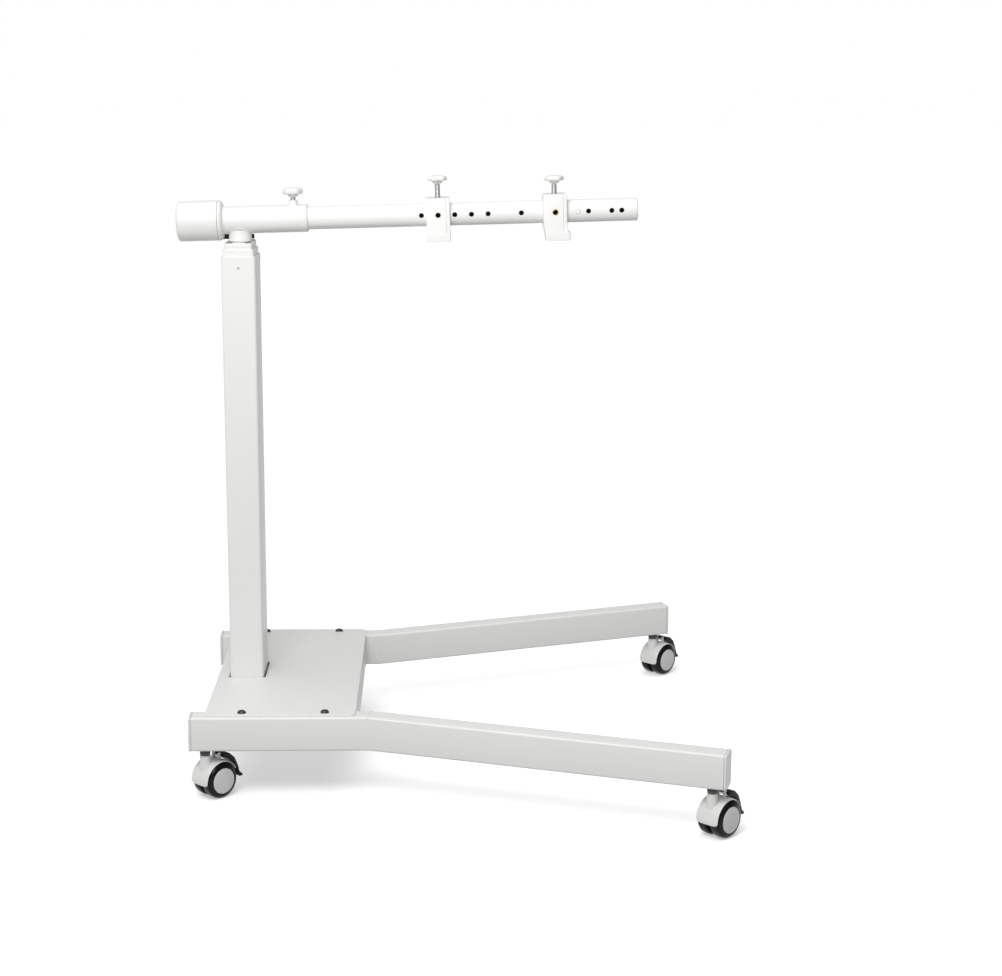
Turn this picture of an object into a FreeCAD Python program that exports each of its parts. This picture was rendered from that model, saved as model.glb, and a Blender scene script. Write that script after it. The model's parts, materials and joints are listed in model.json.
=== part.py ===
import FreeCAD, Part
import math
import os

from FreeCAD import Vector

# Mobile lifting stand for a portable dental X-ray head: a splayed wheeled base, a three-stage lifting
# column and a horizontal telescopic arm that carries two hanging clamps.
# All sizes are millimetres. The stand is drawn about the column's axis: +X points along the arm to the
# open end of the base, +Y to the left leg, +Z up from the floor. It is moved at the end so that the
# origin is the centre of its whole box, on the floor.

# --- driving dimensions: base ---
LEG_H = 60.0  # leg tube section, height
LEG_W = 40.0  # leg tube section, width
LEG_WALL = 2.0
LEG_CORNER = 4.0
FLOOR_TO_LEG = 90.0  # room that a caster takes up
BASE_HALF_WIDTH = 278.0  # column axis to the outer face of a leg's straight part
LEG_REAR_X = -75.0
BEND_X = 225.0  # where the outer face of a leg turns outwards
SPLAY = 19.7  # degrees
SPLAY_LENGTH = 618.0  # along the outer face, from the bend to the open end
CAP_THICK = 5.0
CAP_PROUD = 0.6
CAP_PLUG = 7.0
CAP_SEAM = 0.8  # recessed ring that keeps a cap's flange off the cut end
PLATE_T = 3.0
PLATE_X0, PLATE_X1 = -53.0, 205.0
PLATE_HALF_Y = 273.0
PLATE_CORNER = 12.0
SCREW_X = (10.0, 152.0)  # plate screws, over each leg's middle
FRONT_BEAM_W = 40.0
REAR_BEAM_W = 20.0
MOUNT_PLATE_T = 8.0
MOUNT_PLATE_HALF_Y = 75.0

# --- driving dimensions: lifting column ---
OUTER_X, OUTER_Y = 60.0, 100.0  # fixed stage section
STAGE_STEP = 3.0  # each stage is smaller than the last by this on every side
STAGE_WALL = 2.0
STAGE_CORNER = 5.0
OUTER_HEIGHT = 760.0  # above the base plate
MID_STANDS = 12.0  # how far the middle stage stands out when it is down
INNER_STANDS = 11.0
LIFT_STROKE = 350.0  # of each moving stage
GLIDE_GAP = 0.05
LEAD_SCREW_R = 7.0
HOLLOW_SCREW_R = 12.0
RUNNING = 0.05  # radial clearance of a turning or sliding fit

# --- driving dimensions: arm ---
ARM_Z = 974.0  # height of the arm's axis at the column's axis
ARM_RISE = 1.69  # degrees; the unloaded arm stands up by this and comes level under load
TUBE_R = 20.0
TUBE_WALL = 2.0
TUBE_X0, TUBE_X1 = -20.0, 697.0
SLEEVE_R = 24.0
SLEEVE_BORE_R = 21.5
SLEEVE_X0, SLEEVE_X1 = -100.0, 115.8
LIP_T = 3.7
WEIGHT_R = 35.2
WEIGHT_X0, WEIGHT_SEAM_X, WEIGHT_X1 = -109.2, -37.5, -28.8
WEIGHT_WALL = 3.0
STUB_R = 20.0
COLLAR_R = 15.0
COLLAR_BORE_TOP = 13.3  # above the column's top
PIVOT_R = 10.0
SLEEVE_KNOB_X = 94.5
BOSS_R, BOSS_TOP = 8.0, 32.0
HOLE_PITCH = 29.2
TUBE_HOLE_R = 4.4
CLAMP_X = (348.0, 553.2)
PLUGGED_HOLE_X = 594.0
STUD_R = 4.9
CLAMP_HALF_X, CLAMP_HALF_Y = 20.9, 31.0
CLAMP_TOP = (29.5, 31.0)
CLAMP_SHOULDER = -19.0  # where the block under the tube begins
# front outline of each clamp below its shoulder; the second one's foot is set over to its right
CLAMP_1_LOWER = ((-20.9, -19.0), (-21.3, -46.0), (21.4, -46.0), (21.4, -32.5), (20.9, -32.5), (20.9, -19.0))
CLAMP_2_LOWER = ((-20.9, -19.0), (-17.0, -49.2), (26.2, -49.2), (26.2, -36.3), (22.6, -35.4), (20.9, -19.0))
CLAMP_LOWER = (CLAMP_1_LOWER, CLAMP_2_LOWER)
CLAMP_FOOT = (-46.0, -49.2)
FOOT_HOLE_X, FOOT_HOLE_Y, FOOT_HOLE_R, FOOT_HOLE_DEPTH = (0.0, 4.6), -12.0, 3.4, 14.0
FRONT_HOLE_R = (4.8, 5.3)  # the second one is lined with a brass ring
INSERT_BORE_R = 4.3
CLAMP_KNOB_TOP = (68.5, 63.5)
KNOB_R, KNOB_H = 18.0, 11.0

# --- driving dimensions: casters ---
STEM_INSET = 21.0  # from the cut end of the leg
STEM_R = 5.5
STEM_THREAD_R = 5.0
STEM_COLLAR_R, STEM_COLLAR_H = 9.2, 11.2
STEM_Z0 = 61.5  # lower end of the stem, inside its caster's neck
NECK_R, NECK_TOP = 9.4, 78.0
CASTER_HEADING = 45.0  # degrees from +X, the side that the wheels trail to
TRAIL = 20.0
WHEEL_R = 31.5
WHEEL_IN, WHEEL_OUT = 3.5, 25.0  # sides of one wheel, from the caster's middle
HUB_CAP_R = 22.3
AXLE_R = 4.0
HOOD_R, HOOD_WALL, HOOD_HALF_W = 35.0, 1.8, 22.0
LEVER_R_IN, LEVER_PIN_RADIUS, LEVER_HALF_W = 38.5, 40.2, 14.0  # radii about the wheels' axle
LEVER_PIN_R = 1.5
# outer side of the brake pedal, from its pin down to its toe: forward of the stem, above the floor
LEVER_OUTLINE = ((27.5, 75.4), (33.0, 76.5), (43.0, 73.5), (54.0, 62.5), (61.0, 47.0), (64.0, 36.0),
                 (71.5, 29.5), (70.0, 26.2), (63.5, 26.6))

# --- heights and sections that follow ---
LEG_TOP = FLOOR_TO_LEG + LEG_H
PLATE_TOP = LEG_TOP + PLATE_T
COLUMN_Z0 = FLOOR_TO_LEG + MOUNT_PLATE_T
OUTER_TOP = PLATE_TOP + OUTER_HEIGHT
MID_TOP = OUTER_TOP + MID_STANDS
INNER_TOP = MID_TOP + INNER_STANDS
MID_X, MID_Y = OUTER_X - 2 * STAGE_STEP, OUTER_Y - 2 * STAGE_STEP
INNER_X, INNER_Y = MID_X - 2 * STAGE_STEP, MID_Y - 2 * STAGE_STEP
GEARBOX_TOP = LEG_TOP
MID_Z0 = GEARBOX_TOP + 10.0
NUT_T = 20.0
INNER_Z0 = MID_Z0 + NUT_T + 4.0
HEAD_T = 8.0
HEAD_SCREW_R = 6.3
AXLE_Z = WHEEL_R

X_AXIS, Y_AXIS, Z_AXIS = Vector(1, 0, 0), Vector(0, 1, 0), Vector(0, 0, 1)
LEG_SIDES = {"left": 1.0, "right": -1.0}


# --- small shape helpers ---
def block(x0, x1, y0, y1, z0, z1):
    return Part.makeBox(x1 - x0, y1 - y0, z1 - z0, Vector(x0, y0, z0))


def rod(radius, base, axis, length):
    return Part.makeCylinder(radius, length, Vector(*base), axis)


def ring(outer, inner, base, axis, length):
    return rod(outer, base, axis, length).cut(rod(inner, base, axis, length))


def edges_along(shape, direction):
    found = []
    for edge in shape.Edges:
        if isinstance(edge.Curve, Part.Line) and abs(abs(edge.tangentAt(0).dot(direction)) - 1) < 1e-6:
            found.append(edge)
    return found


def rounded_block(x0, x1, y0, y1, z0, z1, radius, direction=Z_AXIS):
    solid = block(x0, x1, y0, y1, z0, z1)
    return solid.makeFillet(radius, edges_along(solid, direction))


def stage_bar(size_x, size_y, z0, z1, corner):
    return rounded_block(-size_x / 2, size_x / 2, -size_y / 2, size_y / 2, z0, z1, corner)


def stage_frame(out_x, out_y, in_x, in_y, z0, z1, out_corner, in_corner):
    return stage_bar(out_x, out_y, z0, z1, out_corner).cut(stage_bar(in_x, in_y, z0, z1, in_corner))


def turned(points, axis_point, axis):
    """A solid of revolution from a closed outline of (radius, distance along the axis)."""
    side = Y_AXIS if abs(axis.dot(Y_AXIS)) < 0.5 else Z_AXIS
    base = Vector(*axis_point)
    corners = [base + side * radius + axis * along for radius, along in points]
    face = Part.Face(Part.makePolygon(corners + corners[:1]))
    return face.revolve(base, axis, 360)


def hexagon(across_flats, base, length):
    """Upright six-sided bar."""
    reach = across_flats / math.sqrt(3)
    corners = []
    for step in range(7):
        turn = math.radians(60 * step)
        corners.append(Vector(*base) + Vector(reach * math.cos(turn), reach * math.sin(turn), 0))
    return Part.Face(Part.makePolygon(corners)).extrude(Vector(0, 0, length))


def group(shapes):
    return Part.makeCompound(shapes)


# --- base ---
def leg_bar(side, half_w, half_h, corner, past_end):
    """One solid bar along a leg's centreline, mitred at the bend."""
    half_turn = side * SPLAY / 2
    mitre = LEG_W / 2 * math.tan(math.radians(SPLAY / 2))
    bend = Vector(BEND_X + mitre, side * (BASE_HALF_WIDTH - LEG_W / 2), 0)
    z0, z1 = FLOOR_TO_LEG + LEG_H / 2 - half_h, FLOOR_TO_LEG + LEG_H / 2 + half_h
    reach = LEG_W
    straight = rounded_block(LEG_REAR_X - past_end - bend.x, reach, -half_w, half_w, z0, z1, corner, X_AXIS)
    length = SPLAY_LENGTH - mitre
    splayed = rounded_block(-reach, length + past_end, -half_w, half_w, z0, z1, corner, X_AXIS)
    splayed.rotate(Vector(), Z_AXIS, side * SPLAY)
    ahead = block(0, 900, -300, 300, 0, 300)
    ahead.rotate(Vector(), Z_AXIS, half_turn)
    behind = block(-900, 0, -300, 300, 0, 300)
    behind.rotate(Vector(), Z_AXIS, half_turn)
    bar = straight.common(behind).fuse(splayed.common(ahead)).removeSplitter()
    bar.translate(bend)
    return bar


def leg_end_frames(side):
    """Point on the centreline and outward direction at a leg's rear and front cut ends."""
    turn = math.radians(SPLAY)
    ahead = Vector(math.cos(turn), side * math.sin(turn), 0)
    inward = Vector(math.sin(turn), -side * math.cos(turn), 0)
    outer_end = Vector(BEND_X, side * BASE_HALF_WIDTH, 0) + ahead * SPLAY_LENGTH
    rear = Vector(LEG_REAR_X, side * (BASE_HALF_WIDTH - LEG_W / 2), 0)
    return {"rear": (rear, Vector(-1, 0, 0)), "front": (outer_end + inward * (LEG_W / 2), ahead)}


def stem_points():
    """Where the four caster stems stand, by name."""
    points = {}
    for side_name, side in LEG_SIDES.items():
        for end_name, (point, outward) in leg_end_frames(side).items():
            points[end_name + "_" + side_name] = point - outward * STEM_INSET
    return points


def leg(side):
    bar = leg_bar(side, LEG_W / 2, LEG_H / 2, LEG_CORNER, 0)
    hollow = leg_bar(side, LEG_W / 2 - LEG_WALL, LEG_H / 2 - LEG_WALL, LEG_CORNER - LEG_WALL, 10)
    tube = bar.cut(hollow)
    for point, outward in leg_end_frames(side).values():
        stem = point - outward * STEM_INSET
        socket = rod(12, (stem.x, stem.y, FLOOR_TO_LEG + LEG_WALL), Z_AXIS, 14)
        tube = tube.fuse(socket)
        tube = tube.cut(rod(STEM_THREAD_R + 0.1, (stem.x, stem.y, FLOOR_TO_LEG), Z_AXIS, 20))
    for x in SCREW_X:
        tube = tube.cut(rod(3.2, (x, side * (BASE_HALF_WIDTH - LEG_W / 2), LEG_TOP - 5), Z_AXIS, 10))
    return tube


def end_cap(point, outward):
    half_w, half_h = LEG_W / 2 + CAP_PROUD, LEG_H / 2 + CAP_PROUD
    corner = LEG_CORNER + CAP_PROUD
    flange = rounded_block(CAP_SEAM, CAP_THICK, -half_w, half_w, -half_h, half_h, corner, X_AXIS)
    rim = [edge for edge in flange.Edges if edge.BoundBox.XMin > CAP_THICK - 1e-3]
    flange = flange.makeFillet(2.0, rim)
    inner_w, inner_h = LEG_W / 2 - LEG_WALL, LEG_H / 2 - LEG_WALL
    corner = LEG_CORNER - LEG_WALL
    plug = rounded_block(-CAP_PLUG, CAP_SEAM, -inner_w, inner_w, -inner_h, inner_h, corner, X_AXIS)
    plug = plug.cut(block(-CAP_PLUG, -1.0, 3 - inner_w, inner_w - 3, 3 - inner_h, inner_h - 3))
    cap = flange.fuse(plug).removeSplitter()
    cap.rotate(Vector(), Z_AXIS, math.degrees(math.atan2(outward.y, outward.x)))
    cap.translate(Vector(point.x, point.y, FLOOR_TO_LEG + LEG_H / 2))
    return cap


def leg_end_caps():
    caps = []
    for side in LEG_SIDES.values():
        for point, outward in leg_end_frames(side).values():
            caps.append(end_cap(point, outward))
    return group(caps)


def crossbeam(x0, x1):
    half_y = BASE_HALF_WIDTH - LEG_W
    outside = rounded_block(x0, x1, -half_y, half_y, FLOOR_TO_LEG, LEG_TOP, LEG_CORNER, Y_AXIS)
    inside = block(x0 + LEG_WALL, x1 - LEG_WALL, -half_y, half_y, FLOOR_TO_LEG + LEG_WALL, LEG_TOP - LEG_WALL)
    return outside.cut(inside)


def base_plate():
    plate = rounded_block(PLATE_X0, PLATE_X1, -PLATE_HALF_Y, PLATE_HALF_Y, LEG_TOP, PLATE_TOP, PLATE_CORNER)
    side_slot = 3.5
    plate = plate.cut(block(-OUTER_X / 2 - side_slot, OUTER_X / 2 + side_slot, -OUTER_Y / 2 - 0.4,
                            OUTER_Y / 2 + 0.4, LEG_TOP, PLATE_TOP))
    for x in SCREW_X:
        for side in LEG_SIDES.values():
            plate = plate.cut(rod(3.2, (x, side * (BASE_HALF_WIDTH - LEG_W / 2), LEG_TOP), Z_AXIS, PLATE_T))
    return plate


def column_mount_plate():
    plate = block(PLATE_X0 + REAR_BEAM_W, PLATE_X1 - FRONT_BEAM_W, -MOUNT_PLATE_HALF_Y, MOUNT_PLATE_HALF_Y,
                  FLOOR_TO_LEG, COLUMN_Z0)
    for x, y in foot_screw_places():
        plate = plate.cut(rod(4.2, (x, y, FLOOR_TO_LEG), Z_AXIS, MOUNT_PLATE_T))
        plate = plate.cut(rod(7.0, (x, y, FLOOR_TO_LEG), Z_AXIS, 4.5))
    return plate


def foot_screw_places():
    return [(sx * 18.0, sy * 38.0) for sx in (-1, 1) for sy in (-1, 1)]


def frame_screws():
    """Four plate screws, four screws up into the column's foot and the small stop screw near its top."""
    screws = []
    for x in SCREW_X:
        for side in LEG_SIDES.values():
            place = (x, side * (BASE_HALF_WIDTH - LEG_W / 2), PLATE_TOP)
            head = turned([(0, 0), (7.5, 0), (7.5, 1.2), (5.8, 3.4), (0, 3.4)], place, Z_AXIS)
            head = head.cut(rod(2.6, (place[0], place[1], PLATE_TOP + 1.2), Z_AXIS, 3))
            screws.append(head.fuse(rod(3.0, (place[0], place[1], PLATE_TOP - 14), Z_AXIS, 14)))
    for x, y in foot_screw_places():
        head = rod(6.5, (x, y, FLOOR_TO_LEG + 0.5), Z_AXIS, 4.0)
        head = head.cut(rod(3.2, (x, y, FLOOR_TO_LEG + 0.5), Z_AXIS, 2.2))
        screws.append(head.fuse(rod(4.0, (x, y, FLOOR_TO_LEG + 4.5), Z_AXIS, 11)))
    front = -OUTER_Y / 2
    stop_head = rod(3.1, (0, front - 0.8, OUTER_TOP - 19), Y_AXIS, 0.8)
    screws.append(stop_head.fuse(rod(2.0, (0, front - 0.8, OUTER_TOP - 19), Y_AXIS, 2.7)))
    return group(screws)


# --- casters ---
def caster_stems():
    stems = []
    for point in stem_points().values():
        x, y = point.x, point.y
        pin = rod(STEM_R, (x, y, STEM_Z0), Z_AXIS, FLOOR_TO_LEG - STEM_Z0)
        collar = rod(STEM_COLLAR_R, (x, y, FLOOR_TO_LEG - STEM_COLLAR_H), Z_AXIS, STEM_COLLAR_H)
        thread = rod(STEM_THREAD_R, (x, y, FLOOR_TO_LEG - 1), Z_AXIS, 15)
        stems.append(pin.fuse([collar, thread]))
    return group(stems)


def sector(radius_in, radius_out, half_w, angle0, angle1):
    """Part of a drum about the wheels' axle, between two angles above the trailing side."""
    centre = Vector(TRAIL, 0, AXLE_Z)
    corners = []
    for radius, y in ((radius_in, -half_w), (radius_out, -half_w), (radius_out, half_w), (radius_in, half_w)):
        corners.append(centre + Vector(radius, y, 0))
    face = Part.Face(Part.makePolygon(corners + corners[:1]))
    drum = face.revolve(centre, Y_AXIS, -(angle1 - angle0))
    drum.rotate(centre, Y_AXIS, -angle0)
    return drum


def at_axle(radius, angle):
    turn = math.radians(angle)
    return TRAIL + radius * math.cos(turn), AXLE_Z + radius * math.sin(turn)


def lever_pin_place():
    return at_axle(LEVER_PIN_RADIUS, 84)


def caster_hood():
    shell = sector(HOOD_R - HOOD_WALL, HOOD_R, HOOD_HALF_W, 24, 187)
    web = sector(AXLE_R + 2, HOOD_R - 0.5, 2.6, 30, 187)
    hub = rod(9, (TRAIL, -2.6, AXLE_Z), Y_AXIS, 5.2)
    neck = rod(NECK_R, (0, 0, 48), Z_AXIS, NECK_TOP - 48)
    room_for_wheels = group([rod(HOOD_R - HOOD_WALL, (TRAIL, 2.6, AXLE_Z), Y_AXIS, 30),
                             rod(HOOD_R - HOOD_WALL, (TRAIL, -32.6, AXLE_Z), Y_AXIS, 30)])
    pin_x, pin_z = lever_pin_place()
    ears = block(pin_x - 3.5, pin_x + 3.5, -8.5, 8.5, pin_z - 9, pin_z + 2)
    ears = ears.cut(block(pin_x - 6, pin_x + 6, -5.5, 5.5, pin_z - 5, pin_z + 6))
    solid = shell.fuse([web, hub, neck, ears]).cut(room_for_wheels)
    solid = solid.fuse([hub, rod(LEVER_PIN_R, (pin_x, -8.5, pin_z), Y_AXIS, 17)])
    solid = solid.cut(rod(STEM_R + RUNNING, (0, 0, STEM_Z0 - 0.5), Z_AXIS, 30))
    solid = solid.cut(rod(AXLE_R, (TRAIL, -10, AXLE_Z), Y_AXIS, 20))
    axle = rod(AXLE_R, (TRAIL, -20, AXLE_Z), Y_AXIS, 40)
    return group([solid.removeSplitter(), axle])


def caster_wheel(side):
    """One wheel of the pair: tyre and rim in one, with its hub cap pressed in the outer side."""
    face = WHEEL_OUT
    outline = [(AXLE_R + RUNNING, WHEEL_IN), (26, WHEEL_IN), (WHEEL_R - 1.5, 5.0), (WHEEL_R, 7.5),
               (WHEEL_R, 18.0), (WHEEL_R - 1.2, 20.8), (WHEEL_R - 4, 23.3), (WHEEL_R - 7, face),
               (HUB_CAP_R, face), (HUB_CAP_R, face - 2), (AXLE_R + RUNNING, face - 2)]
    tyre = turned(outline, (TRAIL, 0, AXLE_Z), Y_AXIS * side)
    cap = turned([(0, face - 2), (HUB_CAP_R, face - 2), (HUB_CAP_R, face), (HUB_CAP_R - 2, face + 0.8),
                  (HUB_CAP_R - 9, face + 1.5), (0, face + 1.8)], (TRAIL, 0, AXLE_Z), Y_AXIS * side)
    return group([tyre, cap])


def brake_lever():
    """Pedal that humps over the hood and ends in a toe, with a barrel on its pin."""
    outline = list(LEVER_OUTLINE)
    for angle in range(8, 79, 10):
        outline.append(at_axle(LEVER_R_IN, angle))
    corners = [Vector(x, -LEVER_HALF_W, z) for x, z in outline]
    pedal = Part.Face(Part.makePolygon(corners + corners[:1])).extrude(Vector(0, 2 * LEVER_HALF_W, 0))
    pin_x, pin_z = lever_pin_place()
    room_for_ears = block(0, pin_x + 4.5, -LEVER_HALF_W - 1, LEVER_HALF_W + 1, 50, 90)
    barrel = rod(3.2, (pin_x, -5, pin_z), Y_AXIS, 10)
    root = block(pin_x, pin_x + 6, -5, 5, pin_z - 0.5, pin_z + 3.2)
    lever = pedal.cut(room_for_ears).fuse([barrel, root]).removeSplitter()
    return lever.cut(rod(LEVER_PIN_R + RUNNING, (pin_x, -6, pin_z), Y_AXIS, 12))


def placed_caster(shape, point):
    moved = shape.copy()
    moved.rotate(Vector(), Z_AXIS, CASTER_HEADING)
    moved.translate(Vector(point.x, point.y, 0))
    return moved


# --- lifting column ---
def column_outer():
    wall = STAGE_WALL
    tube = stage_frame(OUTER_X, OUTER_Y, OUTER_X - 2 * wall, OUTER_Y - 2 * wall, COLUMN_Z0, OUTER_TOP,
                       STAGE_CORNER, STAGE_CORNER - wall)
    foot = stage_bar(OUTER_X - wall, OUTER_Y - wall, COLUMN_Z0, COLUMN_Z0 + 10, STAGE_CORNER - wall / 2)
    for x, y in foot_screw_places():
        foot = foot.cut(rod(4.0, (x, y, COLUMN_Z0), Z_AXIS, 10))
    window = block(0, OUTER_X, -22.5, 22.5, COLUMN_Z0 + 10, LEG_TOP - 0.5)
    stop_hole = rod(2.0, (0, -OUTER_Y / 2 - 1, OUTER_TOP - 19), Y_AXIS, 4)
    return tube.cut(window).cut(stop_hole).fuse(foot).removeSplitter()


def outer_glides():
    wall = STAGE_WALL
    rim = stage_frame(OUTER_X - 2 * wall, OUTER_Y - 2 * wall, MID_X + 2 * GLIDE_GAP, MID_Y + 2 * GLIDE_GAP,
                      OUTER_TOP - 40, OUTER_TOP, STAGE_CORNER - wall, STAGE_CORNER - wall - 0.4)
    return rim.cut(rod(2.0, (0, -OUTER_Y / 2 - 1, OUTER_TOP - 19), Y_AXIS, 4))


def stage_tube(size_x, size_y, z0, z1):
    wall = STAGE_WALL
    return stage_frame(size_x, size_y, size_x - 2 * wall, size_y - 2 * wall, z0, z1, STAGE_CORNER - 1,
                       STAGE_CORNER - 1 - wall)


def bottom_glide(size_x, size_y, z0):
    """Slider round the foot of a moving stage, which fills the gap to the stage outside it."""
    gap = STAGE_STEP - STAGE_WALL - GLIDE_GAP
    return stage_frame(size_x + 2 * gap, size_y + 2 * gap, size_x, size_y, z0, z0 + NUT_T, STAGE_CORNER - 1,
                       STAGE_CORNER - 1)


def mid_glides():
    wall = STAGE_WALL
    top = stage_frame(MID_X - 2 * wall, MID_Y - 2 * wall, INNER_X + 2 * GLIDE_GAP, INNER_Y + 2 * GLIDE_GAP,
                      MID_TOP - 40, MID_TOP, STAGE_CORNER - 1 - wall, STAGE_CORNER - 1 - wall + 0.6)
    return group([top, bottom_glide(MID_X, MID_Y, MID_Z0)])


def stage_nut(size_x, size_y, z0, bore_r):
    wall = STAGE_WALL
    nut = stage_bar(size_x - 2 * wall, size_y - 2 * wall, z0, z0 + NUT_T, STAGE_CORNER - 1 - wall)
    return nut.cut(rod(bore_r, (0, 0, z0), Z_AXIS, NUT_T))


def drive_spindle():
    screw = rod(LEAD_SCREW_R, (0, 0, GEARBOX_TOP + 1), Z_AXIS, 388)
    return screw.fuse(rod(5.0, (0, 0, GEARBOX_TOP - 14), Z_AXIS, 16))


def hollow_spindle():
    z0 = MID_Z0 + NUT_T + 0.1
    return ring(HOLLOW_SCREW_R, LEAD_SCREW_R + 0.5, (0, 0, z0), Z_AXIS, 388)


def lift_gearmotor():
    z0 = COLUMN_Z0 + 10
    gearbox = rounded_block(-22, 22, -32, 32, z0, GEARBOX_TOP, 5)
    motor = rod(19.5, (20, 0, (z0 + GEARBOX_TOP) / 2), X_AXIS, 95)
    motor_end = rod(17, (115, 0, (z0 + GEARBOX_TOP) / 2), X_AXIS, 6)
    drive = gearbox.fuse([motor, motor_end])
    return drive.cut(rod(5.0 + RUNNING, (0, 0, GEARBOX_TOP - 15), Z_AXIS, 20))


def lift_controller():
    """Control box behind the left half of the rear beam, with its mains inlet let into the beam."""
    x0 = PLATE_X0 + REAR_BEAM_W
    box = rounded_block(x0, x0 + 90, 105, 175, FLOOR_TO_LEG + 10, LEG_TOP - 0.5, 4)
    neck = block(PLATE_X0 - 0.5, x0 + 1, 126, 154, FLOOR_TO_LEG + 20, FLOOR_TO_LEG + 40)
    flange = rounded_block(PLATE_X0 - 2.5, PLATE_X0, 121, 159, FLOOR_TO_LEG + 16, FLOOR_TO_LEG + 44, 3, X_AXIS)
    socket = block(PLATE_X0 - 3, PLATE_X0 + 14, 128, 152, FLOOR_TO_LEG + 22, FLOOR_TO_LEG + 38)
    return box.fuse([neck, flange]).cut(socket).removeSplitter()


def inlet_opening():
    return block(PLATE_X0 - 1, PLATE_X0 + REAR_BEAM_W + 1, 126, 154, FLOOR_TO_LEG + 20, FLOOR_TO_LEG + 40)


def head_screw_places():
    return [(sx * 16.5, sy * 36.0) for sx in (-1, 1) for sy in (-1, 1)]


def column_head():
    """Cap of the inner stage with the bearing housing below it and the brake collar above it."""
    cap = stage_bar(INNER_X, INNER_Y, INNER_TOP - HEAD_T, INNER_TOP, STAGE_CORNER - 1)
    plug = stage_bar(INNER_X - 2 * STAGE_WALL, INNER_Y - 2 * STAGE_WALL, INNER_TOP - HEAD_T - 16,
                     INNER_TOP - HEAD_T, 2.0)
    housing = rod(16, (0, 0, INNER_TOP - 68), Z_AXIS, 60)
    collar = rod(COLLAR_R, (0, 0, INNER_TOP - 1), Z_AXIS, 13.0)
    head = cap.fuse([plug, housing, collar]).removeSplitter()
    head = head.cut(rod(PIVOT_R + 2, (0, 0, INNER_TOP - 70), Z_AXIS, 90))
    for x, y in head_screw_places():
        head = head.cut(rod(3.0, (x, y, INNER_TOP - 26), Z_AXIS, 30))
        head = head.cut(rod(HEAD_SCREW_R + 0.1, (x, y, INNER_TOP - 4.5), Z_AXIS, 10))
    return head


def head_screws():
    screws = []
    for x, y in head_screw_places():
        head = rod(HEAD_SCREW_R, (x, y, INNER_TOP - 4.5), Z_AXIS, 5.5)
        head = head.cut(rod(2.5, (x, y, INNER_TOP - 1.5), Z_AXIS, 4))
        screws.append(head.fuse(rod(3.0, (x, y, INNER_TOP - 22), Z_AXIS, 18)))
    return group(screws)


def swivel_bushes():
    upper = ring(PIVOT_R + 2, PIVOT_R + RUNNING, (0, 0, INNER_TOP - 13), Z_AXIS, 25)
    lower = ring(PIVOT_R + 2, PIVOT_R + RUNNING, (0, 0, INNER_TOP - 68), Z_AXIS, 25)
    return group([upper, lower])


# --- arm: drawn level about its own axis, then set at its rise ---
def set_on_column(shape):
    moved = shape.copy()
    moved.rotate(Vector(), Y_AXIS, -ARM_RISE)
    moved.translate(Vector(0, 0, ARM_Z))
    return moved


def lock_ears():
    z0, z1 = INNER_TOP + 2.2, INNER_TOP + 12.2
    return block(-19.9, 8, 12, 35.5, z0, z1)


LOCK_PIN_PLACE = (-28.0, 31.0)
LOCK_Z0, LOCK_Z1 = INNER_TOP + 2.4, INNER_TOP + 10.4
LOCK_SWING = 110  # degrees that the lever opens by


def arm_sleeve():
    sleeve = rod(SLEEVE_R, (SLEEVE_X0, 0, 0), X_AXIS, SLEEVE_X1 - SLEEVE_X0)
    flare_r = BOSS_R + 2.5
    boss_outline = [(0, SLEEVE_R - 5), (flare_r, SLEEVE_R - 5), (flare_r, SLEEVE_R),
                    (BOSS_R + 0.8, SLEEVE_R + 1.2), (BOSS_R, SLEEVE_R + 3), (BOSS_R, BOSS_TOP), (0, BOSS_TOP)]
    boss = turned(boss_outline, (SLEEVE_KNOB_X, 0, 0), Z_AXIS)
    sleeve = set_on_column(sleeve.fuse(boss))
    stub = rod(STUB_R, (0, 0, INNER_TOP + 1.2), Z_AXIS, ARM_Z - INNER_TOP - 1.2)
    body = sleeve.fuse([stub, lock_ears()])
    body = body.cut(set_on_column(rod(SLEEVE_BORE_R, (SLEEVE_X0 - 1, 0, 0), X_AXIS, 400)))
    body = body.cut(set_on_column(rod(STUD_R + 0.1, (SLEEVE_KNOB_X, 0, 10), Z_AXIS, 40)))
    body = body.cut(rod(COLLAR_R + RUNNING, (0, 0, INNER_TOP), Z_AXIS, COLLAR_BORE_TOP))
    body = body.cut(block(-1.2, 1.2, 10, 40, INNER_TOP, INNER_TOP + 13))
    body = body.cut(rod(3.2, (-30, LOCK_PIN_PLACE[1], (LOCK_Z0 + LOCK_Z1) / 2), X_AXIS, 60))
    return body.removeSplitter()


def swivel_pivot():
    """Shaft welded under the sleeve, and the washer and nut that hold it in its housing."""
    shaft = rod(PIVOT_R, (0, 0, INNER_TOP - 84), Z_AXIS, 84 + COLLAR_BORE_TOP)
    washer = ring(16, PIVOT_R, (0, 0, INNER_TOP - 71.2), Z_AXIS, 3)
    nut = hexagon(27, (0, 0, INNER_TOP - 82), 10.5).cut(rod(PIVOT_R, (0, 0, INNER_TOP - 90), Z_AXIS, 30))
    return group([shaft, washer, nut])


def sleeve_front_bush():
    lip_r = SLEEVE_R + 0.5
    outline = [(TUBE_R + RUNNING, 74), (SLEEVE_BORE_R, 74), (SLEEVE_BORE_R, SLEEVE_X1), (lip_r, SLEEVE_X1),
               (lip_r, SLEEVE_X1 + 2), (lip_r - 1.7, SLEEVE_X1 + LIP_T), (TUBE_R + RUNNING, SLEEVE_X1 + LIP_T)]
    bush = turned(outline, (0, 0, 0), X_AXIS)
    return bush.cut(rod(STUD_R + 0.1, (SLEEVE_KNOB_X, 0, 10), Z_AXIS, 20))


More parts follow.
